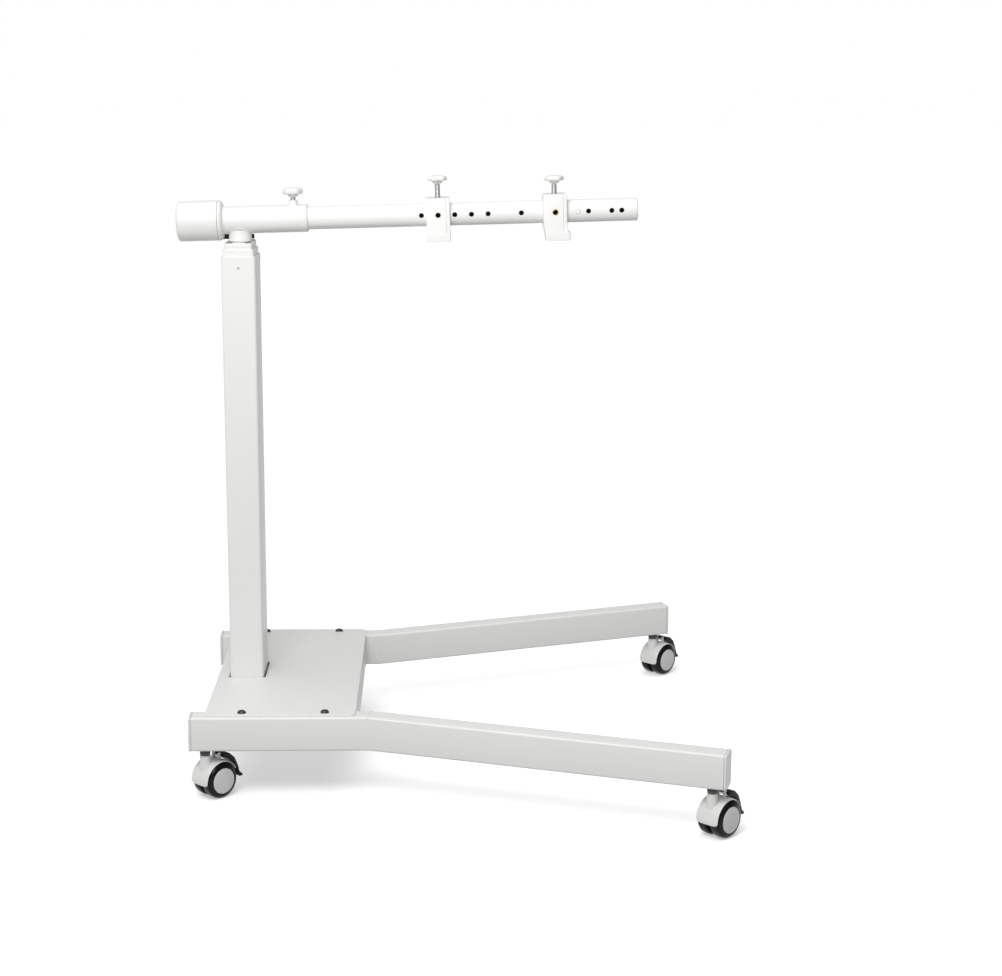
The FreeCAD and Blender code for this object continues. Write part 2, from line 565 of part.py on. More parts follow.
def counterweight_shell():
    x0, x1 = WEIGHT_X0, WEIGHT_SEAM_X
    bore_r = WEIGHT_R - WEIGHT_WALL
    outline = [(0, x0), (WEIGHT_R - 10, x0), (WEIGHT_R - 3.5, x0 + 1.6), (WEIGHT_R - 0.8, x0 + 4.5),
               (WEIGHT_R, x0 + 8), (WEIGHT_R, x1), (bore_r, x1), (bore_r, x0 + 7), (0, x0 + 7)]
    return turned(outline, (0, 0, 0), X_AXIS)


def counterweight_core():
    x0, x1 = WEIGHT_X0 + 7.5, WEIGHT_SEAM_X - 1
    outer_r = WEIGHT_R - WEIGHT_WALL
    outline = [(SLEEVE_R, SLEEVE_X0), (SLEEVE_R, x1), (outer_r, x1), (outer_r, x0), (10, x0), (10, SLEEVE_X0)]
    return turned(outline, (0, 0, 0), X_AXIS)


def counterweight_cover():
    x0, x1 = WEIGHT_SEAM_X + 0.4, WEIGHT_X1
    return turned([(SLEEVE_R, x0), (WEIGHT_R, x0), (WEIGHT_R, x1 - 6), (WEIGHT_R - 1.2, x1 - 3.5),
                   (WEIGHT_R - 4, x1 - 1.2), (WEIGHT_R - 8, x1), (SLEEVE_R, x1)], (0, 0, 0), X_AXIS)


def swivel_lock_bolt():
    """Draw bolt of the brake collar, with its eye, the lever's upright pin and the nut."""
    pin_x, pin_y = LOCK_PIN_PLACE
    middle = (LOCK_Z0 + LOCK_Z1) / 2
    shank = rod(3.0, (pin_x, pin_y, middle), X_AXIS, 13.8 - pin_x)
    eye = rod(5.0, (pin_x, pin_y, middle - 2.4), Z_AXIS, 4.8)
    pin = rod(2.5, (pin_x, pin_y, LOCK_Z0), Z_AXIS, LOCK_Z1 - LOCK_Z0)
    nut = ring(5.0, 3.0, (8, pin_y, middle), X_AXIS, 5.5)
    return group([shank.fuse([eye, pin]), nut])


def swivel_lock_lever():
    pin_x, pin_y = LOCK_PIN_PLACE
    middle = (LOCK_Z0 + LOCK_Z1) / 2
    hub = rod(8.0, (pin_x, pin_y, LOCK_Z0), Z_AXIS, LOCK_Z1 - LOCK_Z0)
    bar = rounded_block(pin_x - 3, 21, 37, 44, LOCK_Z0, LOCK_Z1, 2.5)
    bridge = block(pin_x - 3, pin_x + 6, pin_y, 40, LOCK_Z0, LOCK_Z1)
    lever = hub.fuse([bar, bridge]).removeSplitter()
    room_for_eye = rod(6.0, (pin_x, pin_y, middle - 2.7), Z_AXIS, 5.4)
    swept = []
    for angle in range(0, LOCK_SWING + 10, 5):
        slot = block(0, 9, -3.5, 3.5, -3.1, 3.1)
        slot.rotate(Vector(), Z_AXIS, -angle)
        slot.translate(Vector(pin_x, pin_y, middle))
        swept.append(slot)
    lever = lever.cut([room_for_eye] + swept)
    return lever.cut(rod(2.5 + RUNNING, (pin_x, pin_y, LOCK_Z0 - 1), Z_AXIS, 20))


def tube_guide_ring():
    x0 = TUBE_X0 + 3
    return turned([(TUBE_R + RUNNING, x0), (SLEEVE_BORE_R - RUNNING, x0), (SLEEVE_BORE_R - RUNNING, x0 + 14),
                   (TUBE_R + RUNNING, x0 + 14), (TUBE_R + RUNNING, x0 + 10), (TUBE_R - 0.6, x0 + 10),
                   (TUBE_R - 0.6, x0 + 4), (TUBE_R + RUNNING, x0 + 4)], (0, 0, 0), X_AXIS)


def tube_hole_places():
    first = CLAMP_X[0]
    row = [first + HOLE_PITCH * step for step in (-1, 0, 1, 2, 3, 5)]
    return row + [CLAMP_X[1], PLUGGED_HOLE_X, PLUGGED_HOLE_X + 18, PLUGGED_HOLE_X + 59, PLUGGED_HOLE_X + 76.5]


def arm_tube():
    tube = ring(TUBE_R, TUBE_R - TUBE_WALL, (TUBE_X0, 0, 0), X_AXIS, TUBE_X1 - TUBE_X0)
    groove = ring(TUBE_R + 1, TUBE_R - 0.65, (TUBE_X0 + 6.9, 0, 0), X_AXIS, 6.2)
    tube = tube.cut(groove)
    for x in tube_hole_places():
        tube = tube.cut(rod(TUBE_HOLE_R, (x, -TUBE_R - 1, 0), Y_AXIS, TUBE_R))
    return tube


def tube_plugs():
    """Rounded plug of the arm's open end, and the small plug of one hole in its side."""
    x1 = TUBE_X1
    bore = TUBE_R - TUBE_WALL
    end_plug = turned([(0, x1 - 12), (bore, x1 - 12), (bore, x1), (TUBE_R, x1), (TUBE_R, x1 + 1),
                       (TUBE_R - 1.5, x1 + 2.4), (0, x1 + 2.8)], (0, 0, 0), X_AXIS)
    side_plug = rod(TUBE_HOLE_R, (PLUGGED_HOLE_X, 0.7 - TUBE_R, 0), Y_AXIS, 4)
    return group([end_plug, side_plug])


def knob(top, stud_bottom, height=KNOB_H):
    """Lobed hand knob on its threaded stud; two solids, the moulded head and the stud in it."""
    z0 = top - height
    lobes = []
    for step in range(6):
        turn = math.radians(60 * step + 30)
        lobes.append(rod(8.0, (9.7 * math.cos(turn), 9.7 * math.sin(turn), z0 + 1), Z_AXIS, height - 3.5))
    head = rod(15.6, (0, 0, z0 + 1), Z_AXIS, height - 3.5).fuse(lobes)
    crown = turned([(0, top - 2.6), (15.0, top - 2.6), (9, top - 0.6), (0, top)], (0, 0, 0), Z_AXIS)
    hub = turned([(0, z0 - 3), (7.5, z0 - 3), (9, z0), (14.5, z0 + 1.2), (0, z0 + 1.2)], (0, 0, 0), Z_AXIS)
    head = head.fuse([crown, hub]).removeSplitter()
    stud = rod(STUD_R, (0, 0, stud_bottom), Z_AXIS, top - 4 - stud_bottom)
    return group([head.cut(stud), stud])


def pressure_pad():
    return rod(STUD_R + 0.05, (0, 0, TUBE_R + RUNNING), Z_AXIS, 4.0)


PAD_TOP = TUBE_R + RUNNING + 4.0


def clamp_body(index):
    top, foot = CLAMP_TOP[index], CLAMP_FOOT[index]
    upper = rounded_block(-CLAMP_HALF_X, CLAMP_HALF_X, -CLAMP_HALF_Y, CLAMP_HALF_Y, CLAMP_SHOULDER, top, 2.0)
    crown = [edge for edge in upper.Edges if edge.BoundBox.ZMin > top - 1e-3]
    upper = upper.makeFillet(1.5, crown)
    corners = [Vector(x, -CLAMP_HALF_Y, z) for x, z in CLAMP_LOWER[index]]
    lower = Part.Face(Part.makePolygon(corners + corners[:1])).extrude(Vector(0, 2 * CLAMP_HALF_Y, 0))
    body = upper.fuse(lower)
    body = body.cut(rod(22, (-60, CLAMP_HALF_Y + 1, foot), X_AXIS, 120))
    body = body.cut(block(14.5, 60, -CLAMP_HALF_Y - 2, -CLAMP_HALF_Y + 1.2, -32.0, top + 1))
    body = body.cut(rod(TUBE_R + RUNNING, (-60, 0, 0), X_AXIS, 120))
    body = body.cut(rod(STUD_R + 0.1, (0, 0, 10), Z_AXIS, 30))
    body = body.cut(rod(FRONT_HOLE_R[index], (0, -CLAMP_HALF_Y - 2, 0), Y_AXIS, 25))
    body = body.cut(rod(FOOT_HOLE_R, (FOOT_HOLE_X[index], FOOT_HOLE_Y, foot), Z_AXIS, FOOT_HOLE_DEPTH))
    return body.removeSplitter()


def clamp_insert():
    return ring(FRONT_HOLE_R[1], INSERT_BORE_R, (0, -CLAMP_HALF_Y - 0.3, 0), Y_AXIS, 8)


# --- the whole stand, as named pieces ---
def build_nodes():
    nodes = {
        "left_leg": leg(LEG_SIDES["left"]),
        "right_leg": leg(LEG_SIDES["right"]),
        "leg_end_caps": leg_end_caps(),
        "front_crossbeam": crossbeam(PLATE_X1 - FRONT_BEAM_W, PLATE_X1),
        "rear_crossbeam": crossbeam(PLATE_X0, PLATE_X0 + REAR_BEAM_W).cut(inlet_opening()),
        "base_plate": base_plate(),
        "frame_screws": frame_screws(),
        "caster_stems": caster_stems(),
        "column_mount_plate": column_mount_plate(),
        "column_outer": column_outer(),
        "outer_glides": outer_glides(),
        "lift_gearmotor": lift_gearmotor(),
        "lift_controller": lift_controller(),
        "drive_spindle": drive_spindle(),
        "hollow_spindle": hollow_spindle(),
        "column_mid": stage_tube(MID_X, MID_Y, MID_Z0, MID_TOP),
        "mid_glides": mid_glides(),
        "mid_nut": stage_nut(MID_X, MID_Y, MID_Z0, LEAD_SCREW_R + RUNNING),
        "column_inner": stage_tube(INNER_X, INNER_Y, INNER_Z0, INNER_TOP - HEAD_T),
        "inner_glide": bottom_glide(INNER_X, INNER_Y, INNER_Z0),
        "inner_nut": stage_nut(INNER_X, INNER_Y, INNER_Z0, HOLLOW_SCREW_R + RUNNING),
        "column_head": column_head(),
        "head_screws": head_screws(),
        "swivel_bushes": swivel_bushes(),
        "arm_sleeve": arm_sleeve(),
        "swivel_pivot": swivel_pivot(),
        "swivel_lock_bolt": swivel_lock_bolt(),
        "swivel_lock_lever": swivel_lock_lever(),
    }
    level_pieces = {
        "sleeve_front_bush": sleeve_front_bush(),
        "counterweight_shell": counterweight_shell(),
        "counterweight_core": counterweight_core(),
        "counterweight_cover": counterweight_cover(),
        "tube_guide_ring": tube_guide_ring(),
        "arm_tube": arm_tube(),
        "tube_plugs": tube_plugs(),
        "sleeve_pad": along_arm(pressure_pad(), SLEEVE_KNOB_X),
        "sleeve_knob": along_arm(knob(54.0, PAD_TOP + RUNNING, 13.0), SLEEVE_KNOB_X),
        "clamp_2_insert": along_arm(clamp_insert(), CLAMP_X[1]),
    }
    for number, (x, knob_top) in enumerate(zip(CLAMP_X, CLAMP_KNOB_TOP), start=1):
        name = "clamp_" + str(number)
        level_pieces[name + "_body"] = along_arm(clamp_body(number - 1), x)
        level_pieces[name + "_pad"] = along_arm(pressure_pad(), x)
        level_pieces[name + "_knob"] = along_arm(knob(knob_top, PAD_TOP + RUNNING), x)
    for name, shape in level_pieces.items():
        nodes[name] = set_on_column(shape)
    caster_pieces = {
        "hood": caster_hood(),
        "wheel_outer": caster_wheel(-1),
        "wheel_inner": caster_wheel(1),
        "brake_lever": brake_lever(),
    }
    for place, point in stem_points().items():
        for piece, shape in caster_pieces.items():
            nodes[place + "_" + piece] = placed_caster(shape, point)
    return nodes


def along_arm(shape, x):
    moved = shape.copy()
    moved.translate(Vector(x, 0, 0))
    return moved


def frame_shift(nodes):
    """The move that puts the origin under the middle of the whole box."""
    box = FreeCAD.BoundBox()
    for shape in nodes.values():
        box.add(shape.optimalBoundingBox(False, False))
    return Vector(-(box.XMin + box.XMax) / 2, -(box.YMin + box.YMax) / 2, 0)


def main():
    os.makedirs("parts", exist_ok=True)
    nodes = build_nodes()
    shift = frame_shift(nodes)
    for name, shape in nodes.items():
        shape.translate(shift)
        shape.exportStep(os.path.join("parts", name + ".step"))
        print(name, len(shape.Solids), "solids", round(shape.Volume / 1000, 1), "cm3", shape.isValid())
    print("column axis at", round(shift.x, 4), round(shift.y, 4), "nodes", len(nodes))
    return nodes, shift


if __name__ == "__main__":
    main()
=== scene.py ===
"""Looks of the mobile lifting stand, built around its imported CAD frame."""

import json
import math

import bmesh
import bpy
from mathutils import Matrix, Vector


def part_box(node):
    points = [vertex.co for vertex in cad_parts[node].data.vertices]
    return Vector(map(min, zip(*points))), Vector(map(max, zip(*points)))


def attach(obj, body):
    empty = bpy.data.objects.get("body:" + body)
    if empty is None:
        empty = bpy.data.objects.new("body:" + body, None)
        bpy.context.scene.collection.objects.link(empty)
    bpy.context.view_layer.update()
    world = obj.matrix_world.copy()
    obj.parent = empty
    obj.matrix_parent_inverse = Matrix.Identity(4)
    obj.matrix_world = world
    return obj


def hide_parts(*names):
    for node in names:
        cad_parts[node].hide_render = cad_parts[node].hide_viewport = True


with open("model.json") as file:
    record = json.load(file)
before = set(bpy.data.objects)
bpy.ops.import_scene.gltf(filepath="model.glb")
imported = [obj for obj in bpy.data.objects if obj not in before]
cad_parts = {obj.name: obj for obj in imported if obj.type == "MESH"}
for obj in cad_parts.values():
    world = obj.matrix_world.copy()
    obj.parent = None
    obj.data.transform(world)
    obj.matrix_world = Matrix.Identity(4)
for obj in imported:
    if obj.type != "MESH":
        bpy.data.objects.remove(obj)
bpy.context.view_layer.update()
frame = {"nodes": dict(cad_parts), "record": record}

# --- places: the stand is described in millimetres about its column's axis, floor at z = 0 ---
column_low, column_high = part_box("column_outer")
COLUMN = (column_low + column_high) / 2
STAND = Matrix.Translation((COLUMN.x, COLUMN.y, 0)) @ Matrix.Scale(0.001, 4)
ARM_Z, ARM_RISE = 974.0, 1.69
ARM = STAND @ Matrix.Translation((0, 0, ARM_Z)) @ Matrix.Rotation(math.radians(-ARM_RISE), 4, "Y")
ALONG_X = Matrix.Rotation(math.radians(90), 4, "Y")  # a turned piece's axis, from +Z to +X
ALONG_Y = Matrix.Rotation(math.radians(-90), 4, "X")  # from +Z to +Y
CASTER_HEADING, TRAIL, AXLE_Z = 45.0, 20.0, 31.5
SPLAY, BEND_X, HALF_WIDTH, LEG_REAR, SPLAY_LENGTH = 19.7, 225.0, 278.0, -75.0, 618.0
LEG_HALF_W, LEG_HALF_H, WALL = 20.0, 30.0, 2.0
LEG_MID_Z, PLATE_TOP, OUTER_TOP, MID_TOP, INNER_TOP = 120.0, 153.0, 913.0, 925.0, 936.0
TUBE_R, TUBE_BORE_R, TUBE_X0, TUBE_X1 = 20.0, 18.0, -20.0, 697.0
SLEEVE_R, SLEEVE_BORE_R, SLEEVE_X0, SLEEVE_X1 = 24.0, 21.5, -100.0, 115.8
STUB_R, COLLAR_R = 20.0, 15.05
CLAMPS = {"clamp_1": (348.0, 68.5), "clamp_2": (553.2, 63.5)}  # place along the arm, top of the knob
CLAMP_HALF_Y = 31
HOLE_PITCH, HOLE_R, PLUGGED_HOLE_X = 29.2, 4.4, 594.0
SLEEVE_KNOB_X = 94.5


def at(x=0.0, y=0.0, z=0.0):
    return Matrix.Translation((x, y, z))


def turn(degrees, axis="Z"):
    return Matrix.Rotation(math.radians(degrees), 4, axis)


# --- shapes: every one is a list of points and a list of faces ---
def moved(shape, matrix):
    points, faces = shape
    return [matrix @ Vector(p) for p in points], faces


def together(*shapes):
    points, faces = [], []
    for some_points, some_faces in shapes:
        start = len(points)
        points += some_points
        faces += [tuple(i + start for i in face) for face in some_faces]
    return points, faces


def rounded(corners, steps=5, closed=True):
    """A flat outline from (x, y, radius) corners."""
    line = []
    count = len(corners)
    for i, (x, y, radius) in enumerate(corners):
        here = Vector((x, y))
        if radius <= 0 or (not closed and i in (0, count - 1)):
            line.append(here)
            continue
        before = Vector(corners[i - 1][:2]) - here
        after = Vector(corners[(i + 1) % count][:2]) - here
        half = before.angle(after) / 2
        reach = min(radius / math.tan(half), before.length * 0.499, after.length * 0.499)
        first, last = here + before.normalized() * reach, here + after.normalized() * reach
        centre = here + (before.normalized() + after.normalized()).normalized() * reach / math.cos(half)
        spoke = first - centre
        sweep = spoke.angle_signed(last - centre)
        for k in range(steps + 1):
            a = -sweep * k / steps
            c, s = math.cos(a), math.sin(a)
            line.append(centre + Vector((spoke.x * c - spoke.y * s, spoke.x * s + spoke.y * c)))
    return line


def rectangle(x0, x1, y0, y1, radius, steps=5):
    return rounded([(x0, y0, radius), (x1, y0, radius), (x1, y1, radius), (x0, y1, radius)], steps)


def shrunk(line, by):
    """The outline, which runs anticlockwise, drawn in by a distance."""
    result = []
    for i, p in enumerate(line):
        back, ahead = p - line[i - 1], line[(i + 1) % len(line)] - p
        if back.length < 1e-9 or ahead.length < 1e-9:
            result.append(p.copy())
            continue
        n1 = Vector((-back.y, back.x)).normalized()
        n2 = Vector((-ahead.y, ahead.x)).normalized()
        mid = (n1 + n2).normalized()
        result.append(p + mid * (by / max(0.3, mid.dot(n1))))
    return result


def stack(rings, loop=False):
    """A skin over rings that all have the same number of points, with flat ends unless it runs in a loop."""
    size = len(rings[0])
    points = [Vector(p) for ring in rings for p in ring]
    faces = []
    last = len(rings) if loop else len(rings) - 1
    for k in range(last):
        a, b = k * size, ((k + 1) % len(rings)) * size
        for i in range(size):
            j = (i + 1) % size
            faces.append((a + i, a + j, b + j, b + i))
    if not loop:
        faces.append(tuple(reversed(range(size))))
        faces.append(tuple(range((len(rings) - 1) * size, len(rings) * size)))
    return points, faces


def prism(line, z0, z1, edge=0.0, steps=3):
    """The outline raised from z0 to z1, with rounded rims."""
    levels = [(0.0, z0), (0.0, z1)]
    if edge > 0:
        levels = []
        for k in range(steps + 1):
            a = math.pi / 2 * k / steps
            levels.append((edge * (1 - math.sin(a)), z0 + edge * (1 - math.cos(a))))
        levels += [(inward, z0 + z1 - z) for inward, z in reversed(levels)]
    rings = []
    for inward, z in levels:
        ring = shrunk(line, inward) if inward > 0 else line
        rings.append([(p.x, p.y, z) for p in ring])
    return stack(rings)


def shell(outer, inner, z0, z1, edge=0.3):
    """A tube between two outlines of the same number of points, with slightly broken rims."""
    rings = []
    for line, z, inward in (
        (outer, z0 + edge, 0), (outer, z1 - edge, 0), (outer, z1, edge), (inner, z1, -edge),
        (inner, z1 - edge, 0), (inner, z0 + edge, 0), (inner, z0, -edge), (outer, z0, edge),
    ):
        rings.append([(p.x, p.y, z) for p in shrunk(line, inward)])
    return stack(rings, loop=True)


def lathe(profile, segments=48, loop=False):
    """A turned shape about +Z from (radius, height) or (radius, height, factor of the angle)."""
    points, rings = [], []
    for entry in profile:
        radius, z = entry[0], entry[1]
        factor = entry[2] if len(entry) > 2 else None
        if radius < 1e-6:
            rings.append([len(points)])
            points.append(Vector((0, 0, z)))
            continue
        ring = []
        for i in range(segments):
            a = 2 * math.pi * i / segments
            r = radius * (factor(a) if factor else 1.0)
            ring.append(len(points))
            points.append(Vector((r * math.cos(a), r * math.sin(a), z)))
        rings.append(ring)
    faces = []
    pairs = list(zip(rings, rings[1:])) + ([(rings[-1], rings[0])] if loop else [])
    for low, high in pairs:
        for i in range(segments):
            j = (i + 1) % segments
            if len(low) == 1 and len(high) == 1:
                continue
            if len(low) == 1:
                faces.append((low[0], high[j], high[i]))
            elif len(high) == 1:
                faces.append((low[i], low[j], high[0]))
            else:
                faces.append((low[i], low[j], high[j], high[i]))
    return points, faces


def soft_profile(corners, steps=4):
    """A turned outline with its corners rounded."""
    return [(p.x, p.y) for p in rounded(corners, steps, closed=False)]


def turned(corners, segments=48, steps=4, loop=False):
    """A turned shape with rounded corners, from (radius, height, corner radius)."""
    return lathe(soft_profile(corners, steps), segments, loop)


def rod(radius, z0, z1, segments=32):
    """A plain round bar along +Z, mostly used to cut a bore."""
    return lathe([(0, z0), (radius, z0), (radius, z1), (0, z1)], segments)


def six_sided(a):
    return math.cos(math.pi / 6) / math.cos((a % (math.pi / 3)) - math.pi / 6)


def knurled(a):
    return 1 - 0.03 * abs(math.sin(12 * a))


def bead(path, radius):
    """A weld: a thin rope round a closed path, a little uneven in steps."""
    rings = []
    travelled = 0.0
    for i, p in enumerate(path):
        before, after = path[i - 1], path[(i + 1) % len(path)]
        ahead = (after - before).normalized()
        side = ahead.orthogonal().normalized()
        if abs(ahead.z) < 0.95:
            side = ahead.cross(Vector((0, 0, 1))).normalized()
        up = ahead.cross(side).normalized()
        travelled += (p - before).length if i else 0
        r = radius * (1 + 0.16 * math.sin(travelled / 1.1) + 0.05 * math.sin(travelled * 2.7 + 1))
        rings.append([p + (side * math.cos(a) + up * math.sin(a)) * r
                      for a in (2 * math.pi * k / 8 for k in range(8))])
    return stack(rings, loop=True)


def dense(corners, step=0.8):
    """Points every step along a closed path through the corners."""
    path = []
    for a, b in zip(corners, corners[1:] + corners[:1]):
        n = max(1, round((b - a).length / step))
        path += [a.lerp(b, k / n) for k in range(n)]
    return path


# --- materials ---
def finish_material(name, color, rough, metal=0.0, grain=700.0, bump=0.08, mottle=0.03, streak=None,
                    coat=0.0, hollow_shade=0.0, gleam=0.5):
    """A procedural finish: a fine raised grain, slow changes of tone, painted shade darkening hollows and, for
    metal, a drawn direction.
    """
    material = bpy.data.materials.new(name)
    material.use_nodes = True
    tree = material.node_tree
    shader = tree.nodes["Principled BSDF"]
    new, join = tree.nodes.new, tree.links.new
    where = new("ShaderNodeTexCoord")
    mapping = new("ShaderNodeMapping")
    join(where.outputs["Object"], mapping.inputs["Vector"])
    if streak:
        mapping.inputs["Scale"].default_value = streak
    fine = new("ShaderNodeTexNoise")
    fine.inputs["Scale"].default_value = grain
    fine.inputs["Detail"].default_value = 3.0
    join(mapping.outputs["Vector"], fine.inputs["Vector"])
    slow = new("ShaderNodeTexNoise")
    slow.inputs["Scale"].default_value = 7.0
    slow.inputs["Detail"].default_value = 5.0
    join(where.outputs["Object"], slow.inputs["Vector"])
    tone = new("ShaderNodeMix")
    tone.data_type = "RGBA"
    tone.inputs[6].default_value = (*[c * (1 - mottle) for c in color], 1)
    tone.inputs[7].default_value = (*[min(1, c * (1 + mottle)) for c in color], 1)
    join(slow.outputs["Fac"], tone.inputs[0])
    result = tone.outputs[2]
    # painted shade: where the surface curves inward (low pointiness), in creases and hollows, the colour is
    # darkened
    if hollow_shade:
        edge = new("ShaderNodeNewGeometry")
        ramp = new("ShaderNodeMapRange")
        ramp.inputs["From Min"].default_value = 0.40
        ramp.inputs["From Max"].default_value = 0.50
        ramp.inputs["To Min"].default_value = 1 - hollow_shade
        ramp.inputs["To Max"].default_value = 1.0
        join(edge.outputs["Pointiness"], ramp.inputs["Value"])
        shaded_hollows = new("ShaderNodeVectorMath")
        shaded_hollows.operation = "SCALE"
        join(result, shaded_hollows.inputs[0])
        join(ramp.outputs["Result"], shaded_hollows.inputs["Scale"])
        result = shaded_hollows.outputs["Vector"]
    join(result, shader.inputs["Base Color"])
    gloss = new("ShaderNodeMapRange")
    gloss.inputs["To Min"].default_value = rough * 0.85
    gloss.inputs["To Max"].default_value = min(1.0, rough * 1.15)
    join(fine.outputs["Fac"], gloss.inputs["Value"])
    join(gloss.outputs["Result"], shader.inputs["Roughness"])
    relief = new("ShaderNodeBump")
    relief.inputs["Strength"].default_value = bump
    relief.inputs["Distance"].default_value = 0.0004
    join(fine.outputs["Fac"], relief.inputs["Height"])
    join(relief.outputs["Normal"], shader.inputs["Normal"])
    shader.inputs["Metallic"].default_value = metal
    shader.inputs["Coat Weight"].default_value = coat
    shader.inputs["Specular IOR Level"].default_value = gleam
    shader.inputs["Coat Roughness"].default_value = 0.2
    return material


FINISHES = {
    "powder_white": dict(color=(0.80, 0.80, 0.785), rough=0.42, grain=900, bump=0.10, mottle=0.012, hollow_shade=0.10),
    "column_white": dict(color=(0.80, 0.80, 0.79), rough=0.36, grain=800, bump=0.08, mottle=0.012, hollow_shade=0.10),
    "plastic_white": dict(color=(0.78, 0.78, 0.765), rough=0.38, grain=1500, bump=0.05, mottle=0.012,
                          hollow_shade=0.12),
    "plastic_grey": dict(color=(0.70, 0.71, 0.70), rough=0.40, grain=1500, bump=0.05, mottle=0.02),
    "plastic_black": dict(color=(0.006, 0.007, 0.006), rough=0.30, grain=1300, bump=0.12, mottle=0.10,
                          gleam=0.16),
    "wheel_black": dict(color=(0.005, 0.005, 0.006), rough=0.24, grain=1100, bump=0.10, mottle=0.15,
                        gleam=0.16),
    "bright_steel": dict(color=(0.62, 0.62, 0.62), rough=0.28, metal=1.0, grain=500, bump=0.10, mottle=0.06,
                         streak=(1, 1, 0.1), hollow_shade=0.3),
    "dark_steel": dict(color=(0.06, 0.06, 0.06), rough=0.36, metal=0.6, grain=900, bump=0.15, mottle=0.15),
    "chrome": dict(color=(0.70, 0.71, 0.71), rough=0.10, metal=1.0, grain=300, bump=0.03, mottle=0.03),
    "brass": dict(color=(0.55, 0.36, 0.14), rough=0.30, metal=1.0, grain=700, bump=0.10, mottle=0.10,
                  streak=(0.2, 1, 1)),
    "bronze": dict(color=(0.38, 0.24, 0.11), rough=0.38, metal=1.0, grain=700, bump=0.15, mottle=0.12),
    "cast_iron": dict(color=(0.10, 0.10, 0.10), rough=0.62, metal=0.6, grain=260, bump=0.6, mottle=0.2),
    "motor_grey": dict(color=(0.13, 0.135, 0.14), rough=0.42, grain=800, bump=0.15, mottle=0.08, coat=0.2),
}
MATERIALS = {name: finish_material(name, **finish) for name, finish in FINISHES.items()}
for row in frame["record"]["subparts"]:
    node = frame["nodes"][row["node"]]
    node.data.materials.clear()
    node.data.materials.append(MATERIALS[row["material_slot"]])


# --- from shape to a piece of the stand ---
def make_object(name, shape, place):
    points, faces = moved(shape, place)
    mesh = bpy.data.meshes.new(name)
    mesh.from_pydata([tuple(p) for p in points], [], faces)
    tidy = bmesh.new()
    tidy.from_mesh(mesh)
    bmesh.ops.remove_doubles(tidy, verts=tidy.verts, dist=2e-6)
    bmesh.ops.recalc_face_normals(tidy, faces=tidy.faces)
    tidy.to_mesh(mesh)
    tidy.free()
    obj = bpy.data.objects.new(name, mesh)
    bpy.context.scene.collection.objects.link(obj)
    return obj


def piece(name, shape, place, body, slot, stands_for=(), cutters=(), sharp=32):
    """One visible piece: its mesh, cuts, finish, body and the CAD nodes it stands for."""
    obj = make_object(name, shape, place)
    for k, cutter in enumerate(cutters):
        tool = make_object(f"{name}_cut_{k}", cutter, place)
        cut = obj.modifiers.new("cut", "BOOLEAN")
        cut.operation = "DIFFERENCE"
        cut.solver = "EXACT"
        cut.object = tool
        seen = obj.evaluated_get(bpy.context.evaluated_depsgraph_get())
        result = bpy.data.meshes.new_from_object(seen)
        obj.modifiers.clear()
        obj.data = result
        bpy.data.objects.remove(tool)
    mesh = obj.data
    mesh.materials.clear()
    mesh.materials.append(MATERIALS[slot])
    mesh.polygons.foreach_set("material_index", [0] * len(mesh.polygons))
    mesh.shade_smooth()
    mesh.set_sharp_from_angle(angle=math.radians(sharp))
    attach(obj, body)
    if stands_for:
        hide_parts(*stands_for)
    return obj


# --- base ---
def leg_stations(side):
    """(centre, sideways, stretch) at a leg's rear end, bend and front end, and the way its last run goes."""
    a = math.radians(SPLAY)
    ahead = Vector((math.cos(a), side * math.sin(a), 0))
    mid_y = side * (HALF_WIDTH - LEG_HALF_W)
    bend = Vector((BEND_X + LEG_HALF_W * math.tan(a / 2), mid_y, LEG_MID_Z))
    half = Vector((-math.sin(side * a / 2), math.cos(side * a / 2), 0))
    inward = Vector((math.sin(a), -side * math.cos(a), 0))
    front = Vector((BEND_X, side * HALF_WIDTH, LEG_MID_Z)) + ahead * SPLAY_LENGTH + inward * LEG_HALF_W
    rear = Vector((LEG_REAR, mid_y, LEG_MID_Z))
    return [(rear, Vector((0, 1, 0)), 1.0), (bend, half, 1 / math.cos(a / 2)),
            (front, Vector((-math.sin(side * a), math.cos(side * a), 0)), 1.0)], ahead


def along_leg(side, half_w, half_h, corner):
    """A leg's section at its three stations."""
    section = rectangle(-half_w, half_w, -half_h, half_h, corner)
    return [[centre + across * (p.x * stretch) + Vector((0, 0, p.y)) for p in section]
            for centre, across, stretch in leg_stations(side)[0]]


def leg_shape(side):
    """Rectangular tube, bent once, open at both ends."""
    outside = along_leg(side, LEG_HALF_W, LEG_HALF_H, 4)
    inside = along_leg(side, LEG_HALF_W - WALL, LEG_HALF_H - WALL, 2)
    return stack(outside + list(reversed(inside)), loop=True)


seam_outline = ((-19.2, 30), (19.2, 30), (20, 29.2), (20, -29.2), (19.2, -30), (-19.2, -30), (-20, -29.2),
                (-20, 29.2))
for side_name, side in (("left", 1), ("right", -1)):
    bend, across, stretch = leg_stations(side)[0][1]
    seam = [bend + across * stretch * x + Vector((0, 0, z)) for x, z in seam_outline]
    weld = bead(dense(seam), 0.55)
    piece(f"{side_name}_leg_tube", together(leg_shape(side), weld), STAND, "base", "powder_white",
          [f"{side_name}_leg"])

